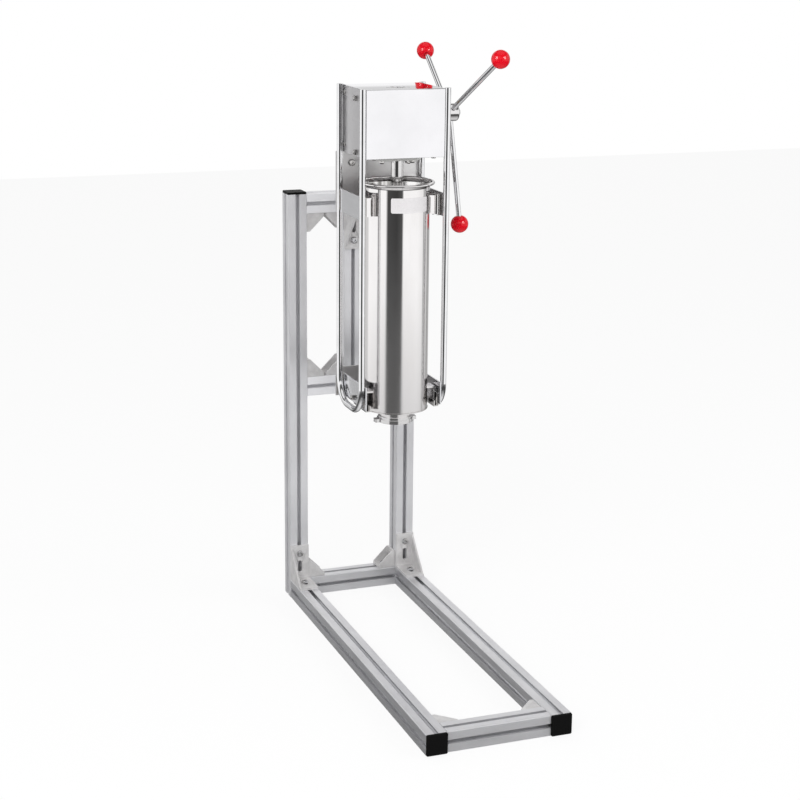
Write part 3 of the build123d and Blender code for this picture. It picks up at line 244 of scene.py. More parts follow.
# These two shine only on what the collection holds: the knobs, added later.
GLINTS = ("left_glint", "right_glint")
glint_group = bpy.data.collections.new("shown_glints")
LOOK_AT = Vector((axis_x, axis_y, 0.7))
for lamp_name, place, size, power in LAMPS:
    lamp_data = bpy.data.lights.new(lamp_name, "AREA")
    lamp_data.size = size
    lamp_data.energy = power
    lamp = bpy.data.objects.new(lamp_name, lamp_data)
    scene.collection.objects.link(lamp)
    lamp.location = place
    lamp.rotation_euler = (LOOK_AT - lamp.location).to_track_quat("-Z", "Y").to_euler()
    lamp.visible_glossy = lamp_name in GLINTS
    lamp.visible_diffuse = lamp_name not in GLINTS
    if lamp_name in GLINTS:
        lamp.light_linking.receiver_collection = glint_group
    print(lamp_name, "watts:", power)

# %% [markdown]
# The floor is a large pale sheet. For the camera it is mostly its own white,
# with a share of real lighting, so that the contact shadow shows faintly.

# %% Lay the floor
FLOOR_SIZE = 14.0
FLOOR_DROP = 0.0004
FLOOR_PAINT = (0.93, 0.93, 0.93)
FLOOR_WHITE = 1.03
FLOOR_WHITE_SHARE = 0.82
floor_mesh = bpy.data.meshes.new("floor")
floor_bm = bmesh.new()
bmesh.ops.create_grid(floor_bm, x_segments=1, y_segments=1, size=FLOOR_SIZE / 2)
floor_bm.to_mesh(floor_mesh)
floor_bm.free()
floor = bpy.data.objects.new("floor", floor_mesh)
scene.collection.objects.link(floor)
floor.location = (0, 0, -FLOOR_DROP)
floor.visible_glossy = False
floor_paint = bpy.data.materials.new("pale_floor")
floor_paint.use_nodes = True
tree = floor_paint.node_tree
tree.nodes.clear()
floor_output = tree.nodes.new("ShaderNodeOutputMaterial")
floor_matt = tree.nodes.new("ShaderNodeBsdfDiffuse")
floor_matt.inputs[0].default_value = (*FLOOR_PAINT, 1)
floor_glow = tree.nodes.new("ShaderNodeEmission")
floor_glow.inputs["Strength"].default_value = FLOOR_WHITE
floor_ray = tree.nodes.new("ShaderNodeLightPath")
floor_share = maths(tree, "MULTIPLY", floor_ray.outputs["Is Camera Ray"], FLOOR_WHITE_SHARE)
floor_mix = blend_shaders(tree, floor_share, floor_matt.outputs[0], floor_glow.outputs[0])
link(tree, floor_mix, floor_output.inputs[0])
floor_mesh.materials.append(floor_paint)
print("floor side in metres:", FLOOR_SIZE)

# %% [markdown]
# ## Finishes
# Every finish starts the same way: the place on the piece goes through a
# mapping that can stretch the pattern along one axis, then into a noise. The
# noise moves the colour and the roughness a little and raises fine bumps. The
# place is the piece's own, so the pattern travels with it.

# %% Helpers that finishes share
def new_finish(name, colour, metallic, roughness):
    """A material with the values that are the same all over the surface."""
    material = bpy.data.materials.new(name)
    material.use_nodes = True
    shader = material.node_tree.nodes["Principled BSDF"]
    shader.inputs["Base Color"].default_value = (*colour, 1)
    shader.inputs["Metallic"].default_value = metallic
    shader.inputs["Roughness"].default_value = roughness
    return material


def shader_of(material):
    return material.node_tree.nodes["Principled BSDF"]


def own_place(material):
    """The place on the piece, as outputs called X, Y and Z."""
    tree = material.node_tree
    place = tree.nodes.new("ShaderNodeTexCoord")
    parted = tree.nodes.new("ShaderNodeSeparateXYZ")
    link(tree, place.outputs["Object"], parted.inputs[0])
    return parted.outputs


def noise(material, stretch, scale, detail=3.0, roughness=0.55):
    """Noise over the piece; a small stretch value draws it out along that axis."""
    tree = material.node_tree
    place = tree.nodes.new("ShaderNodeTexCoord")
    mapping = tree.nodes.new("ShaderNodeMapping")
    mapping.inputs["Scale"].default_value = stretch
    link(tree, place.outputs["Object"], mapping.inputs[0])
    grain = tree.nodes.new("ShaderNodeTexNoise")
    grain.inputs["Scale"].default_value = scale
    grain.inputs["Detail"].default_value = detail
    grain.inputs["Roughness"].default_value = roughness
    link(tree, mapping.outputs[0], grain.inputs["Vector"])
    return grain.outputs["Fac"]


def vary(material, socket, factor, low, high, spread=(0.3, 0.7)):
    """Let a pattern move one of the shader's inputs between two values."""
    tree = material.node_tree
    blend = ramp(tree, factor, ((spread[0], low), (spread[1], high)))
    link(tree, blend, shader_of(material).inputs[socket])


def bump(material, height, strength, distance):
    """Raise fine relief in place of any earlier bump."""
    tree = material.node_tree
    node = tree.nodes.new("ShaderNodeBump")
    node.inputs["Strength"].default_value = strength
    node.inputs["Distance"].default_value = distance
    link(tree, height, node.inputs["Height"])
    link(tree, node.outputs[0], shader_of(material).inputs["Normal"])


EVEN = (1, 1, 1)
print("shared helpers ready")

# %% [markdown]
# ** Anodised bars.** Aluminium pushed through a die keeps fine lines along its
# length, under a thin satin oxide. The noise is drawn out along the bar, so one
# finish is made for each of the three directions. Each of these copies is
# lightened by its own factor, which is painted light. A fourth, paler still by
# painted light and more matt, is for the two high cross bars, which look
# straight at the machine and stand in its shade.

# %% Satin aluminium along X, Y and Z
DRAWN_OUT = 0.012
ALONG = {"x": (DRAWN_OUT, 1, 1), "y": (1, DRAWN_OUT, 1), "z": (1, 1, DRAWN_OUT)}
OXIDE_DARK = (0.74, 0.74, 0.76)
OXIDE_LIGHT = (0.84, 0.84, 0.86)


def extruded_aluminium(direction, name, shine, painted_lift=1.0):
    """Shine is how metallic the bar looks; the last argument scales its colour as painted light."""
    finish = new_finish("extruded_aluminium_" + name, (0.80, 0.80, 0.82), shine, 0.34)
    dark = tuple(channel * painted_lift for channel in OXIDE_DARK)
    light = tuple(channel * painted_lift for channel in OXIDE_LIGHT)
    lines = noise(finish, ALONG[direction], 900, 2.0)
    clouds = noise(finish, EVEN, 9, 4.0)
    vary(finish, "Base Color", clouds, dark, light)
    vary(finish, "Roughness", lines, 0.28, 0.42)
    bump(finish, lines, 0.06, 0.00005)
    return finish


# Each set's colour is lightened by its own factor as painted light; the high cross bars, in the machine's
# shade, get the palest.
bar_finish = {
    "x": extruded_aluminium("x", "x", 0.7, 1.02),
    "y": extruded_aluminium("y", "y", 0.9, 1.08),
    "z": extruded_aluminium("z", "z", 0.6, 1.08),
    "high x painted pale": extruded_aluminium("x", "high_x_painted_pale", 0.15, 1.14),
}
BAR_DIRECTIONS = {
    "left_post": "z", "right_post": "z", "centre_post": "z",
    "left_rail": "y", "right_rail": "y", "upper_arm": "y", "lower_arm": "y",
    "front_bar": "x", "rear_bar": "x",
    "middle_bar": "high x painted pale", "top_bar": "high x painted pale",
}


def dress(node, material):
    """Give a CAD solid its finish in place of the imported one."""
    mesh = nodes[node].data
    mesh.materials.clear()
    mesh.materials.append(material)
    for polygon in mesh.polygons:
        polygon.material_index = 0


for bar, direction in BAR_DIRECTIONS.items():
    dress(bar, bar_finish[direction])
print("bars dressed:", len(BAR_DIRECTIONS))

# %% [markdown]
# **Cast brackets.** Pressure-cast corners are tumbled or blasted: an even grey
# with faint clouds and a fine grain that breaks up the highlights.

# %% Blasted castings
cast_finish = new_finish("blasted_casting", (0.80, 0.79, 0.79), 0.5, 0.42)
cast_clouds = noise(cast_finish, EVEN, 60, 4.0)
cast_grain = noise(cast_finish, EVEN, 1500, 2.0)
vary(cast_finish, "Base Color", cast_clouds, (0.72, 0.71, 0.71), (0.88, 0.87, 0.87))
vary(cast_finish, "Roughness", cast_grain, 0.34, 0.52)
bump(cast_finish, cast_grain, 0.25, 0.0002)
CASTINGS = ("corner_brackets", "left_foot_bracket", "right_foot_bracket", "arm_bracket")
for node in CASTINGS:
    dress(node, cast_finish)
print("castings dressed:", len(CASTINGS))

# %% [markdown]
# **Black plastic and black coated steel.** The bar caps are moulded with a
# fine leather-like skin. The two mounting angles are powder-coated, which dries
# with a soft orange-peel surface.

# %% Black pieces
cap_finish = new_finish("black_moulded_caps", (0.004, 0.004, 0.004), 0.0, 0.5)
shader_of(cap_finish).inputs["Specular IOR Level"].default_value = 0.1
cap_skin = noise(cap_finish, EVEN, 1100, 3.0)
vary(cap_finish, "Base Color", cap_skin, (0.002, 0.002, 0.002), (0.007, 0.007, 0.007))
vary(cap_finish, "Roughness", cap_skin, 0.42, 0.60)
bump(cap_finish, cap_skin, 0.35, 0.0002)
dress("bar_caps", cap_finish)

coat_finish = new_finish("black_powder_coat", (0.02, 0.02, 0.021), 0.0, 0.38)
coat_peel = noise(coat_finish, EVEN, 420, 2.0)
vary(coat_finish, "Base Color", coat_peel, (0.016, 0.016, 0.017), (0.028, 0.028, 0.029))
vary(coat_finish, "Roughness", coat_peel, 0.30, 0.46)
bump(coat_finish, coat_peel, 0.3, 0.0003)
MOUNTS = ("upper_mount", "lower_mount")
for node in MOUNTS:
    dress(node, coat_finish)
print("mounts dressed:", len(MOUNTS), "and the bar caps")

# %% [markdown]
# **Stainless sheet.** Rolled sheet is bright. The lines from the rolls run
# along one direction and change how sharply it reflects; wider cloudy smears
# darken it a little, and a slow wave bends its reflections. The gearbox walls
# and the rear plates are more satin than the rest.

# %% Rolled stainless sheet
SMEAR_SHADE = 0.94
SHARPEST = 0.8
DULLEST = 1.3
SHEET_WAVE = 0.04


def rolled_steel(name, direction, colour, gloss):
    """Sheet rolled along one direction; gloss is its middle roughness."""
    finish = new_finish(name, colour, 1.0, gloss)
    lines = noise(finish, ALONG[direction], 900, 2.0)
    smears = noise(finish, EVEN, 14, 5.0, 0.6)
    darker = tuple(channel * SMEAR_SHADE for channel in colour)
    vary(finish, "Base Color", smears, darker, colour)
    vary(finish, "Roughness", lines, gloss * SHARPEST, gloss * DULLEST)
    bump(finish, noise(finish, EVEN, 9, 1.0), SHEET_WAVE, 0.0005)
    return finish


box_sheet = rolled_steel("gearbox_sheet", "x", (0.90, 0.895, 0.915), 0.05)
wall_sheet = rolled_steel("gearbox_wall_sheet", "y", (0.80, 0.79, 0.80), 0.36)
plate_sheet = rolled_steel("plate_sheet", "y", (0.80, 0.80, 0.82), 0.14)
rear_sheet = rolled_steel("rear_plate_sheet", "x", (0.92, 0.91, 0.91), 0.36)
clip_sheet = rolled_steel("clip_sheet", "z", (0.72, 0.71, 0.70), 0.07)
dress("gearbox_hood", box_sheet)
dress("gearbox_chassis", wall_sheet)
for side in ("left", "right"):
    dress(side + "_upper_plate", plate_sheet)
    dress(side + "_lower_plate", plate_sheet)
for node in ("upper_rear_plate", "lower_rear_plate"):
    dress(node, rear_sheet)
for node in ("spring_clips", "cradles"):
    dress(node, clip_sheet)
print("sheet pieces dressed: 10")

# %% [markdown]
# The hood's front stays flat and its top bows slightly, which a bump can show
# without bending the sheet. The bump rises towards the back by a slant and a
# curve, both counted from the front face, and replaces the sheet's slow wave.

# %% Bow the top of the hood
HOOD_TILT = 0.032
HOOD_BOW = 0.4
hood_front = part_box("gearbox_hood")[0].y
tree = box_sheet.node_tree
back_way = maths(tree, "SUBTRACT", own_place(box_sheet)["Y"], hood_front)
back_way = maths(tree, "MAXIMUM", back_way, 0.0)
hood_slope = maths(tree, "ADD", maths(tree, "MULTIPLY", back_way, HOOD_BOW), HOOD_TILT)
bump(box_sheet, maths(tree, "MULTIPLY", back_way, hood_slope), 1.0, 1.0)
print("hood front in metres:", round(hood_front, 4))

# %% [markdown]
# **The cylinder.** The tube is spun and polished all round. The polish has
# faint clouds, and it is a little duller near the foot, where the tube is
# handled and wiped most.

# %% Polished tube
# Roughness by share of the tube's height, before the clouds scale it.
TUBE_DULLNESS = ((0.0, 0.20), (0.3, 0.16), (0.8, 0.06), (1.0, 0.05))
SMEAR_DEPTH = 0.6
SMEAR_LEAST = 0.7
tube_finish = new_finish("polished_tube", (0.88, 0.865, 0.865), 1.0, 0.09)
tube_smears = noise(tube_finish, (1, 1, 0.3), 22, 5.0, 0.6)
vary(tube_finish, "Base Color", tube_smears, (0.84, 0.82, 0.815), (0.91, 0.895, 0.895))
tube_low, tube_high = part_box("cylinder")
tree = tube_finish.node_tree
from_foot = maths(tree, "SUBTRACT", own_place(tube_finish)["Z"], tube_low.z)
height_share = maths(tree, "DIVIDE", from_foot, tube_high.z - tube_low.z)
dullness = ramp(tree, height_share, TUBE_DULLNESS)
smear_share = maths(tree, "ADD", maths(tree, "MULTIPLY", tube_smears, SMEAR_DEPTH), SMEAR_LEAST)
tube_roughness = maths(tree, "MULTIPLY", dullness, smear_share)
link(tree, tube_roughness, shader_of(tube_finish).inputs["Roughness"])
bump(tube_finish, noise(tube_finish, EVEN, 8, 1.0), 0.03, 0.0005)
for node in ("cylinder", "cylinder_floor", "cylinder_lugs"):
    dress(node, tube_finish)
print("tube height in mm:", round((tube_high.z - tube_low.z) / MM))

# %% [markdown]
# The inside is brushed along its length, which leaves long streaks. Their
# colour swings from dark grey to near white, so they are partly brushing and
# partly painted reflection bands. Its bump is a steady slope along the height:
# it leans the shading, so the far wall reflects a higher or lower part of the
# room than a true tube would.

# %% Brushed inside with painted reflection bands
INSIDE_TILT = 0.15
INSIDE_STRETCH = (1, 1, 0.02)
BRUSH_AND_PAINTED_BAND_SPREAD = (0.44, 0.56)
inner_finish = new_finish("brushed_tube_inside_painted_bands", (0.90, 0.89, 0.88), 1.0, 0.2)
inner_brush_and_painted_reflection = noise(inner_finish, INSIDE_STRETCH, 42, 2.0)
inner_lines = noise(inner_finish, INSIDE_STRETCH, 500, 3.0)
# Colour from dark grey to near white along the streaks: partly brushing, partly painted reflection bands.
vary(inner_finish, "Base Color", inner_brush_and_painted_reflection, (0.40, 0.39, 0.38), (0.97, 0.96, 0.95), BRUSH_AND_PAINTED_BAND_SPREAD)
vary(inner_finish, "Roughness", inner_lines, 0.10, 0.18)
inner_height = own_place(inner_finish)["Z"]
bump(inner_finish, maths(inner_finish.node_tree, "MULTIPLY", inner_height, -INSIDE_TILT), 1.0, 1.0)
print("lean of the inside:", INSIDE_TILT)

# %% [markdown]
# **Polished bar.** The U frames, the spokes and the shaft are drawn round bar,
# polished bright. The noise is even, because the frames run both ways. Turned
# pieces have a finer grain from the lathe.

# %% Bright round bar
rod_finish = new_finish("polished_round_bar", (0.88, 0.88, 0.89), 1.0, 0.07)
rod_smears = noise(rod_finish, EVEN, 40, 4.0)
rod_waves = noise(rod_finish, EVEN, 25, 1.0)
vary(rod_finish, "Base Color", rod_smears, (0.80, 0.80, 0.81), (0.90, 0.90, 0.91))
vary(rod_finish, "Roughness", rod_smears, 0.05, 0.09)
bump(rod_finish, rod_waves, 0.03, 0.0003)
for node in ("left_u_frame", "right_u_frame", "spokes", "handle_shaft"):
    dress(node, rod_finish)

turned_finish = new_finish("turned_steel", (0.80, 0.79, 0.79), 1.0, 0.1)
turned_lines = noise(turned_finish, EVEN, 700, 3.0)
vary(turned_finish, "Base Color", turned_lines, (0.74, 0.73, 0.73), (0.84, 0.83, 0.83))
vary(turned_finish, "Roughness", turned_lines, 0.07, 0.16)
bump(turned_finish, turned_lines, 0.04, 0.00003)
TURNED = ("handle_hub", "outlet_ring", "star_die", "piston_nut", "air_valve", "bearing_plates", "piston")
for node in TURNED:
    dress(node, turned_finish)
print("round bars dressed: 4, turned pieces:", len(TURNED))

# %% [markdown]
# **Gear steel, bronze, acetal and silicone.** The rack and the pinion are
# bright milled steel. The bushes are bronze, the rack guides white acetal, and
# the seals food-grade silicone.

# %% Working parts
gear_finish = new_finish("milled_gear_steel", (0.74, 0.73, 0.73), 1.0, 0.08)
gear_clouds = noise(gear_finish, EVEN, 55, 4.0)
vary(gear_finish, "Base Color", gear_clouds, (0.66, 0.65, 0.65), (0.80, 0.79, 0.79))
vary(gear_finish, "Roughness", gear_clouds, 0.05, 0.14)
bump(gear_finish, noise(gear_finish, EVEN, 30, 1.0), 0.03, 0.0003)
for node in ("rack", "pinion", "pinion_key", "shaft_rings"):
    dress(node, gear_finish)

bronze_finish = new_finish("bush_bronze", (0.55, 0.36, 0.16), 1.0, 0.32)
bronze_grain = noise(bronze_finish, EVEN, 800, 3.0)
vary(bronze_finish, "Base Color", bronze_grain, (0.48, 0.30, 0.13), (0.62, 0.42, 0.20))
bump(bronze_finish, bronze_grain, 0.1, 0.0001)
dress("shaft_bushes", bronze_finish)

acetal_finish = new_finish("white_acetal", (0.80, 0.80, 0.78), 0.0, 0.42)
acetal_grain = noise(acetal_finish, EVEN, 300, 3.0)
vary(acetal_finish, "Base Color", acetal_grain, (0.76, 0.76, 0.74), (0.83, 0.83, 0.81))
bump(acetal_finish, acetal_grain, 0.08, 0.0001)
for node in ("lower_rack_guide", "upper_rack_guide"):
    dress(node, acetal_finish)

seal_finish = new_finish("seal_silicone", (0.72, 0.72, 0.70), 0.0, 0.45)
seal_grain = noise(seal_finish, EVEN, 500, 2.0)
vary(seal_finish, "Base Color", seal_grain, (0.68, 0.68, 0.66), (0.76, 0.76, 0.74))
bump(seal_finish, seal_grain, 0.1, 0.0001)
for node in ("piston_seal", "outlet_gasket"):
    dress(node, seal_finish)
print("working parts dressed: 9")

# %% [markdown]
# **Screws.** Zinc-plated steel is bright with a faint warm and cool tint that
# changes from one spot to the next. The machine's own bolts are bare stainless
# steel, shinier and a little darker.

# %% Plated fasteners
plated_finish = new_finish("zinc_plated_screws", (0.62, 0.62, 0.64), 1.0, 0.22)
plated_tint = noise(plated_finish, EVEN, 90, 3.0)
vary(plated_finish, "Base Color", plated_tint, (0.56, 0.55, 0.54), (0.70, 0.71, 0.74))
vary(plated_finish, "Roughness", plated_tint, 0.16, 0.30)
bump(plated_finish, noise(plated_finish, EVEN, 1200), 0.05, 0.0001)
bright_bolt_finish = new_finish("bright_domed_bolts", (0.55, 0.54, 0.53), 1.0, 0.08)
bolt_clouds = noise(bright_bolt_finish, EVEN, 140, 3.0)
vary(bright_bolt_finish, "Base Color", bolt_clouds, (0.46, 0.45, 0.44), (0.66, 0.65, 0.64))
vary(bright_bolt_finish, "Roughness", bolt_clouds, 0.05, 0.14)
bump(bright_bolt_finish, noise(bright_bolt_finish, EVEN, 400), 0.04, 0.00003)
FASTENERS = ("bracket_screws", "slot_nuts", "arm_screws")
BRIGHT_BOLTS = ("plate_bolts", "box_screws", "hex_bolts", "hub_screw")
for node in FASTENERS:
    dress(node, plated_finish)
for node in BRIGHT_BOLTS:
    dress(node, bright_bolt_finish)
print("fastener groups dressed:", len(FASTENERS) + len(BRIGHT_BOLTS))

# %% [markdown]
# **Red knobs and the blank label.** The knobs are glossy moulded balls, a
# saturated red under a clear skin. The label is plain white film.

# %% Knobs and label
knob_finish = new_finish("red_moulded_knobs", (0.82, 0.003, 0.018), 0.0, 0.2)
knob_clouds = noise(knob_finish, EVEN, 120, 3.0)
vary(knob_finish, "Base Color", knob_clouds, (0.78, 0.002, 0.012), (0.86, 0.004, 0.018))
shader_of(knob_finish).inputs["Specular IOR Level"].default_value = 0.16
shader_of(knob_finish).inputs["Coat Weight"].default_value = 0.25
shader_of(knob_finish).inputs["Coat Roughness"].default_value = 0.06
bump(knob_finish, noise(knob_finish, EVEN, 90, 1.0), 0.02, 0.0001)
dress("knobs", knob_finish)

label_finish = new_finish("blank_label_film", (0.82, 0.80, 0.81), 0.0, 0.35)
label_fibre = noise(label_finish, EVEN, 420, 4.0)
vary(label_finish, "Base Color", label_fibre, (0.78, 0.76, 0.77), (0.86, 0.84, 0.85))
bump(label_finish, label_fibre, 0.05, 0.0001)
dress("cylinder_label", label_finish)
print("knobs and label dressed")

# %% [markdown]
# ## Softened edges
# No real edge is perfectly sharp, and a thin line of light along an edge is
# what makes a part look solid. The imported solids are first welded, because
# their faces come apart at every corner, then a bevel rounds each edge by a
# fraction of a millimetre. Both are modifiers, so the solids stay untouched.

# %% Bevel the solids
SAME_POINT = 0.002 * MM
EDGE_SEGMENTS = 2
EDGE_ANGLE = radians(35)


def soften(node, width):
    """Round a solid's sharp edges; width is in millimetres."""
    weld = nodes[node].modifiers.new("join_faces", "WELD")
    weld.merge_threshold = SAME_POINT
    edges = nodes[node].modifiers.new("soft_edges", "BEVEL")
    edges.width = width * MM
    edges.segments = EDGE_SEGMENTS
    edges.limit_method = "ANGLE"
    edges.angle_limit = EDGE_ANGLE
    edges.harden_normals = True


SOFT_EDGES = {
    0.9: ("corner_brackets", "left_foot_bracket", "right_foot_bracket", "arm_bracket", "bar_caps"),
    0.6: ("upper_mount", "lower_mount", "lower_rack_guide", "upper_rack_guide", "gearbox_hood"),
    0.35: ("left_upper_plate", "right_upper_plate", "left_lower_plate", "right_lower_plate",
           "upper_rear_plate", "lower_rear_plate", "gearbox_chassis", "cradles"),
}
for width, softened in SOFT_EDGES.items():
    for node in softened:
        soften(node, width)
    print(len(softened), "nodes with edges of", width, "mm")

# %% [markdown]
# ## Turned pieces
# A turned piece is a section swept round a line. The helper takes the section
# as radius and height pairs that close on themselves, and walks round in small
# steps, so that the silhouette stays smooth in a close view.

# %% Helpers for new pieces
TURNING_STEPS = 192


def add_piece(name, piece_bm, body, finish, replaced=(), sharp_angle=32):
    """Make the object, smooth it up to a sharp angle and let it ride on a body."""
    bmesh.ops.recalc_face_normals(piece_bm, faces=piece_bm.faces)
    mesh = bpy.data.meshes.new(name)
    piece_bm.to_mesh(mesh)
    piece_bm.free()
    mesh.shade_smooth()
    mesh.set_sharp_from_angle(angle=radians(sharp_angle))
    mesh.materials.append(finish)
    piece = bpy.data.objects.new(name, mesh)
    scene.collection.objects.link(piece)
    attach(piece, body)
    if replaced:
        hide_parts(*replaced)
    print(name, "faces:", len(mesh.polygons))
    return piece


def turn_section(piece_bm, section, frame_at, steps=TURNING_STEPS):
    """Sweep a closed section of (radius, height) round the Z axis of a frame."""
    rings = []
    for step in range(steps):
        angle = 2 * pi * step / steps
        points = [Vector((radius * cos(angle), radius * sin(angle), height)) for radius, height in section]
        rings.append([piece_bm.verts.new(frame_at @ point) for point in points])
    for ring, next_ring in zip(rings, rings[1:] + rings[:1]):
        for index in range(len(section)):
            after = (index + 1) % len(section)
            piece_bm.faces.new((ring[index], next_ring[index], next_ring[after], ring[after]))


def arc_points(centre_radius, centre_height, size, start, end, steps):
    """Points of an arc in a section, between two angles in degrees."""
    turns = [radians(start + (end - start) * step / steps) for step in range(steps + 1)]
    return [(centre_radius + size * cos(turn), centre_height + size * sin(turn)) for turn in turns]


print("turning steps:", TURNING_STEPS)

# %% [markdown]
# ** The tube.** The rim of a spun tube runs out in a soft curve and ends in a
# rolled bead. The flare follows a power curve, so it leaves the tube upright
# without a crease and reaches the bead at its full width. Faces that look
# inward get the brushed inside finish, with its painted reflection bands, as
# the tube's second material.

# %% Spin the tube
TUBE_RADIUS = 63.5 * MM
TUBE_WALL = 1.5 * MM
RIM_REACH = 69.9 * MM
RIM_BEAD = 3 * MM
RIM_FLARE = 8 * MM
BEAD_START = -100
BEAD_END = 190
BEAD_STEPS = 24
FLARE_STEPS = 12
FLARE_STEEPNESS = 2.0
rim_height = tube_high.z - RIM_BEAD


def flare(offset):
    """Inner or outer curve of the flare, from the tube up to the bead."""
    curve = []
    for step in range(FLARE_STEPS + 1):
        share = step / FLARE_STEPS
        reach = TUBE_RADIUS + offset + (RIM_REACH - TUBE_RADIUS) * share ** FLARE_STEEPNESS
        curve.append((reach, rim_height - RIM_FLARE + (RIM_FLARE - TUBE_WALL - offset) * share))
    return curve


outer_side = [(TUBE_RADIUS, tube_low.z)] + flare(0)
bead = arc_points(RIM_REACH, rim_height, RIM_BEAD, BEAD_START, BEAD_END, BEAD_STEPS)
inner_side = list(reversed(flare(-TUBE_WALL)))[1:] + [(TUBE_RADIUS - TUBE_WALL, tube_low.z)]
tube_bm = bmesh.new()
turn_section(tube_bm, outer_side + bead + inner_side, Matrix.Translation((axis_x, axis_y, 0)))
tube = add_piece("spun_tube", tube_bm, "cylinder", tube_finish, ("cylinder",))
tube.data.materials.append(inner_finish)
for polygon in tube.data.polygons:
    away = polygon.center - Vector((axis_x, axis_y, polygon.center.z))
    faces_inward = polygon.normal.dot(away) < 0
    if faces_inward and away.length < RIM_REACH - RIM_BEAD:
        polygon.material_index = 1

# %% [markdown]
# ## Welds
# The plates, the tube's floor and its lugs are welded on. A hand-laid bead is a
# row of small overlapping scales, so the swept bead swells and shrinks along
# its way, and its ends taper off.

# %% Helpers for weld beads
BEAD_SIDES = 8
SCALE_PITCH = 1.7 * MM
SAMPLES_PER_SCALE = 4
BEAD_TAPER = 3 * MM
FEWEST_STEPS = 4
SCALE_LEAST = 0.82
SCALE_SWELL = 0.18
TIP_SHARE = 0.25


def lay_bead(piece_bm, start, end, size):
    """A straight bead from one point to another."""
    way = end - start
    length = way.length
    along = way.normalized()
    across = along.orthogonal().normalized()
    upright = along.cross(across)
    count = max(FEWEST_STEPS, round(length / SCALE_PITCH * SAMPLES_PER_SCALE))
    rings = []
    for step in range(count + 1):
        run = length * step / count
        swell = SCALE_LEAST + SCALE_SWELL * abs(sin(pi * run / SCALE_PITCH))
        taper = min(1, TIP_SHARE + run / BEAD_TAPER, TIP_SHARE + (length - run) / BEAD_TAPER)
        radius = size * swell * taper
        ring = []
        for side in range(BEAD_SIDES):
            angle = 2 * pi * side / BEAD_SIDES
            outward = across * cos(angle) + upright * sin(angle)
            ring.append(piece_bm.verts.new(start + along * run + outward * radius))
        rings.append(ring)
    for ring, next_ring in zip(rings, rings[1:]):
        for side in range(BEAD_SIDES):
            after = (side + 1) % BEAD_SIDES
            piece_bm.faces.new((ring[side], ring[after], next_ring[after], next_ring[side]))
    piece_bm.faces.new(rings[0])
    piece_bm.faces.new(rings[-1])


weld_finish = new_finish("tig_welds", (0.60, 0.58, 0.56), 1.0, 0.3)
weld_tint = noise(weld_finish, EVEN, 260, 3.0)
vary(weld_finish, "Base Color", weld_tint, (0.50, 0.46, 0.42), (0.70, 0.69, 0.68))
vary(weld_finish, "Roughness", weld_tint, 0.24, 0.42)
bump(weld_finish, weld_tint, 0.15, 0.0001)
print("samples along a scale:", SAMPLES_PER_SCALE)

# %% [markdown]
# The beads of each U frame run upright in the corners between its rods and the
# plates: on both faces of the coped upper plate, at the ends of the lower plate
# and on the front of the rear plates. Each stops a little short of the ends.

# %% Weld the frames
ROD_RADIUS = 6 * MM
ROD_OFFSET = 85 * MM
ROD_FRONT = 42 * MM
ROD_REAR = 90 * MM
BEAD_SIZE = 1.3 * MM
BEAD_OUT = BEAD_SIZE / 3
BEAD_SHIFT = ROD_RADIUS / 2
PLATE_HALF = 1.5 * MM
END_INSET = 1.5 * MM
REAR_WELD = 100 * MM


def upright_bead(piece_bm, x, y, bottom, top):
    """A bead straight up a corner, between two heights."""
    start = Vector((x, y, bottom + END_INSET))
    end = Vector((x, y, top - END_INSET))
    lay_bead(piece_bm, start, end, BEAD_SIZE)


front_rod_y = axis_y - ROD_FRONT
rear_rod_y = axis_y + ROD_REAR
reach_in = sqrt(ROD_RADIUS ** 2 - (PLATE_HALF + BEAD_SIZE / 2) ** 2)
for side, sign in (("left", -1), ("right", 1)):
    weld_bm = bmesh.new()
    frame_x = axis_x + sign * ROD_OFFSET
    plate_low, plate_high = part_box(side + "_upper_plate")
    for face in (-1, 1):
        bead_x = frame_x + face * (PLATE_HALF + BEAD_OUT)
        for bead_y in (front_rod_y + reach_in, rear_rod_y - reach_in):
            upright_bead(weld_bm, bead_x, bead_y, plate_low.z, plate_high.z)
    plate_low, plate_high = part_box(side + "_lower_plate")
    bead_x = frame_x - sign * ROD_RADIUS + sign * BEAD_OUT
    for bead_y in (front_rod_y + BEAD_SHIFT, rear_rod_y - BEAD_SHIFT):
        upright_bead(weld_bm, bead_x, bead_y, plate_low.z, plate_high.z)
    for node in ("upper_rear_plate", "lower_rear_plate"):
        plate_low, plate_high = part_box(node)
        bottom = plate_high.z - REAR_WELD if node == "upper_rear_plate" else plate_low.z
        for shift in (-BEAD_SHIFT, BEAD_SHIFT):
            upright_bead(weld_bm, frame_x + shift, plate_low.y - BEAD_OUT, bottom, plate_high.z)
    add_piece(side + "_frame_welds", weld_bm, "stand", weld_finish)

# %% [markdown]
# **The cylinder's welds.** The floor is joined to the tube with one bead all
# round. Each lug gets two upright beads, one in front of it and one behind.

# %% Weld the cylinder
LUG_BACK = 20 * MM
LUG_HALF = 1.5 * MM
LUG_WELD = 33 * MM
FLOOR_BEAD = 0.9 * MM
FLOOR_STEPS = 120
lug_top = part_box("cylinder_lugs")[1].z
foot_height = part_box("cylinder_floor")[1].z


def round_the_foot(step):
    """A point on the tube where the floor meets it."""
    angle = 2 * pi * step / FLOOR_STEPS
    return Vector((axis_x + TUBE_RADIUS * cos(angle), axis_y + TUBE_RADIUS * sin(angle), foot_height))


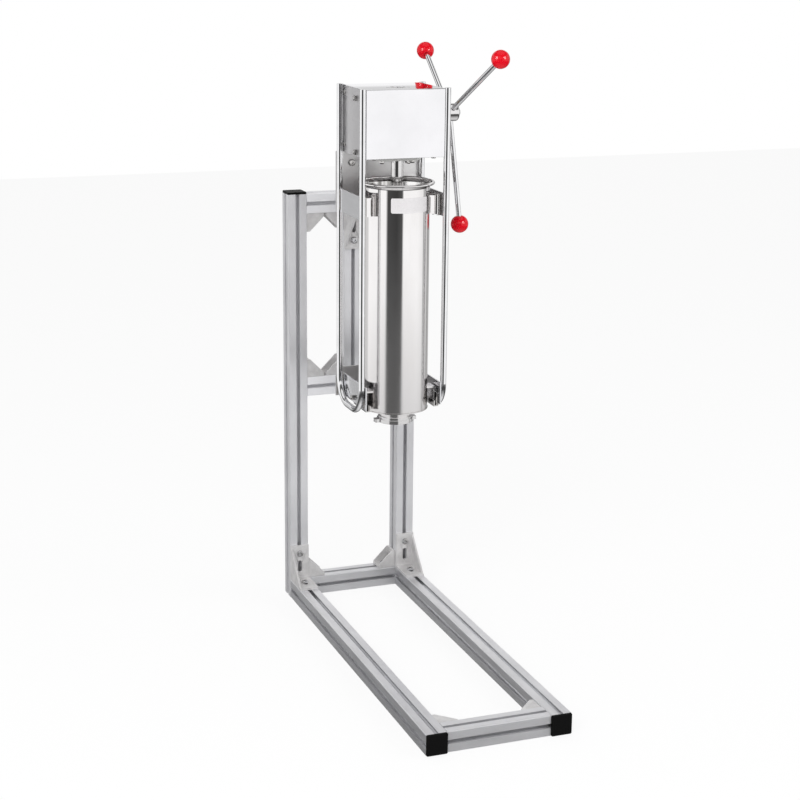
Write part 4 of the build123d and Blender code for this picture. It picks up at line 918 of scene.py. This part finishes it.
weld_bm = bmesh.new()
for step in range(FLOOR_STEPS):
    lay_bead(weld_bm, round_the_foot(step), round_the_foot(step + 1), FLOOR_BEAD)
for sign in (-1, 1):
    for face in (-1, 1):
        bead_y = -LUG_BACK + face * (LUG_HALF + BEAD_OUT)
        bead_x = sign * sqrt(TUBE_RADIUS ** 2 - bead_y ** 2)
        top = Vector((axis_x + bead_x, axis_y + bead_y, lug_top - END_INSET))
        lay_bead(weld_bm, top - Vector((0, 0, LUG_WELD)), top, BEAD_SIZE)
add_piece("cylinder_welds", weld_bm, "cylinder", weld_finish)

# %% [markdown]
# ## Knobs
# Each ball is a hard plastic moulding: a sphere with a faint seam where the two
# halves of the mould met, and a flat moulded seat round the spoke. The balls'
# middles come from the solids: each loose part of the node is one ball.

# %% Find the loose parts of a node
ROUNDED_TO = 4


def by_place(part):
    """Order boxes from the lowest up, then from the front, then from the left."""
    lows = part[0]
    return (round(lows.z, ROUNDED_TO), round(lows.y, ROUNDED_TO), round(lows.x, ROUNDED_TO))


def loose_parts(node):
    """Boxes of the separate solids in one node."""
    node_bm = bmesh.new()
    node_bm.from_mesh(nodes[node].data)
    bmesh.ops.remove_doubles(node_bm, verts=node_bm.verts, dist=SAME_POINT)
    unseen = set(node_bm.verts)
    boxes = []
    while unseen:
        front = [unseen.pop()]
        found = []
        while front:
            vertex = front.pop()
            found.append(vertex.co.copy())
            for edge in vertex.link_edges:
                other = edge.other_vert(vertex)
                if other in unseen:
                    unseen.remove(other)
                    front.append(other)
        lows = Vector([min(point[axis] for point in found) for axis in range(3)])
        highs = Vector([max(point[axis] for point in found) for axis in range(3)])
        boxes.append((lows, highs))
    node_bm.free()
    return sorted(boxes, key=by_place)


knob_boxes = loose_parts("knobs")
print("knobs found:", len(knob_boxes))

# %% [markdown]
# The seam runs across the spoke. It stands out by less than a tenth of a
# millimetre, which is enough to break the highlight, as on a real ball.

# %% Mould the knobs
KNOB_RADIUS = 17.42 * MM
SEAT_RADIUS = 7.5 * MM
SEAT_DISH = 0.6 * MM
SPOKE_RADIUS = 5.05 * MM
BORE_DEPTH = 8 * MM
AXIS_RADIUS = 0.02 * MM
SEAM_HALF = 1.4
SEAM_RISE = 0.07 * MM
BALL_TOP = 89.9
LOWER_STEPS = 26
UPPER_STEPS = 34
KNOB_STEPS = 96
hub_middle = middle_of("handle_hub")
hub_point = Vector((hub_middle.x, shaft_middle.y, shaft_middle.z))
seat_drop = sqrt(KNOB_RADIUS ** 2 - SEAT_RADIUS ** 2)
seat_angle = atan2(-seat_drop, SEAT_RADIUS) * 180 / pi
knob_section = [(SPOKE_RADIUS, -BORE_DEPTH), (SPOKE_RADIUS, SEAT_DISH - seat_drop)]
knob_section += arc_points(0, 0, KNOB_RADIUS, seat_angle, -SEAM_HALF, LOWER_STEPS)
knob_section.append((KNOB_RADIUS + SEAM_RISE, 0))
knob_section += arc_points(0, 0, KNOB_RADIUS, SEAM_HALF, BALL_TOP, UPPER_STEPS)
knob_section.append((AXIS_RADIUS, -BORE_DEPTH))
knob_bm = bmesh.new()
for knob_low, knob_high in knob_boxes:
    ball_middle = (knob_low + knob_high) / 2
    outward = (ball_middle - hub_point).normalized()
    turn_knob = outward.to_track_quat("Z", "X").to_matrix().to_4x4()
    turn_section(knob_bm, knob_section, Matrix.Translation(ball_middle) @ turn_knob, KNOB_STEPS)
add_piece("moulded_knobs", knob_bm, "handle", knob_finish, ("knobs",), 40)
glint_group.objects.link(bpy.data.objects["moulded_knobs"])

# %% [markdown]
# ## The blank label
# The film is a thin curved sheet with rounded corners. Its outline is walked
# column by column; near the ends each column gets shorter, which rounds the
# corners.

# %% Wrap the label
LABEL_GAP = 0.03 * MM
LABEL_RADIUS = TUBE_RADIUS + LABEL_GAP
LABEL_THICKNESS = 0.2 * MM
LABEL_SPAN = radians(73)
LABEL_TURN = radians(6)
LABEL_CORNER = 3 * MM
LABEL_COLUMNS = 120
label_low, label_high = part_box("cylinder_label")
label_middle = (label_low.z + label_high.z) / 2
label_half = (label_high.z - label_low.z) / 2
label_length = LABEL_SPAN * LABEL_RADIUS
label_bm = bmesh.new()
columns = []
for column in range(LABEL_COLUMNS + 1):
    way = label_length * (column / LABEL_COLUMNS - 0.5)
    past = max(0.0, abs(way) - (label_length / 2 - LABEL_CORNER))
    half = label_half - LABEL_CORNER + sqrt(max(0.0, LABEL_CORNER ** 2 - past ** 2))
    angle = LABEL_TURN + way / LABEL_RADIUS
    corners = []
    for radius, height in ((0, -half), (LABEL_THICKNESS, -half), (LABEL_THICKNESS, half), (0, half)):
        reach = LABEL_RADIUS + radius
        point = (axis_x + reach * sin(angle), axis_y - reach * cos(angle), label_middle + height)
        corners.append(label_bm.verts.new(point))
    columns.append(corners)
for corners, following in zip(columns, columns[1:]):
    for index in range(len(corners)):
        after = (index + 1) % len(corners)
        label_bm.faces.new((corners[index], corners[after], following[after], following[index]))
label_bm.faces.new(columns[0])
label_bm.faces.new(columns[-1])
add_piece("blank_label", label_bm, "cylinder", label_finish, ("cylinder_label",))
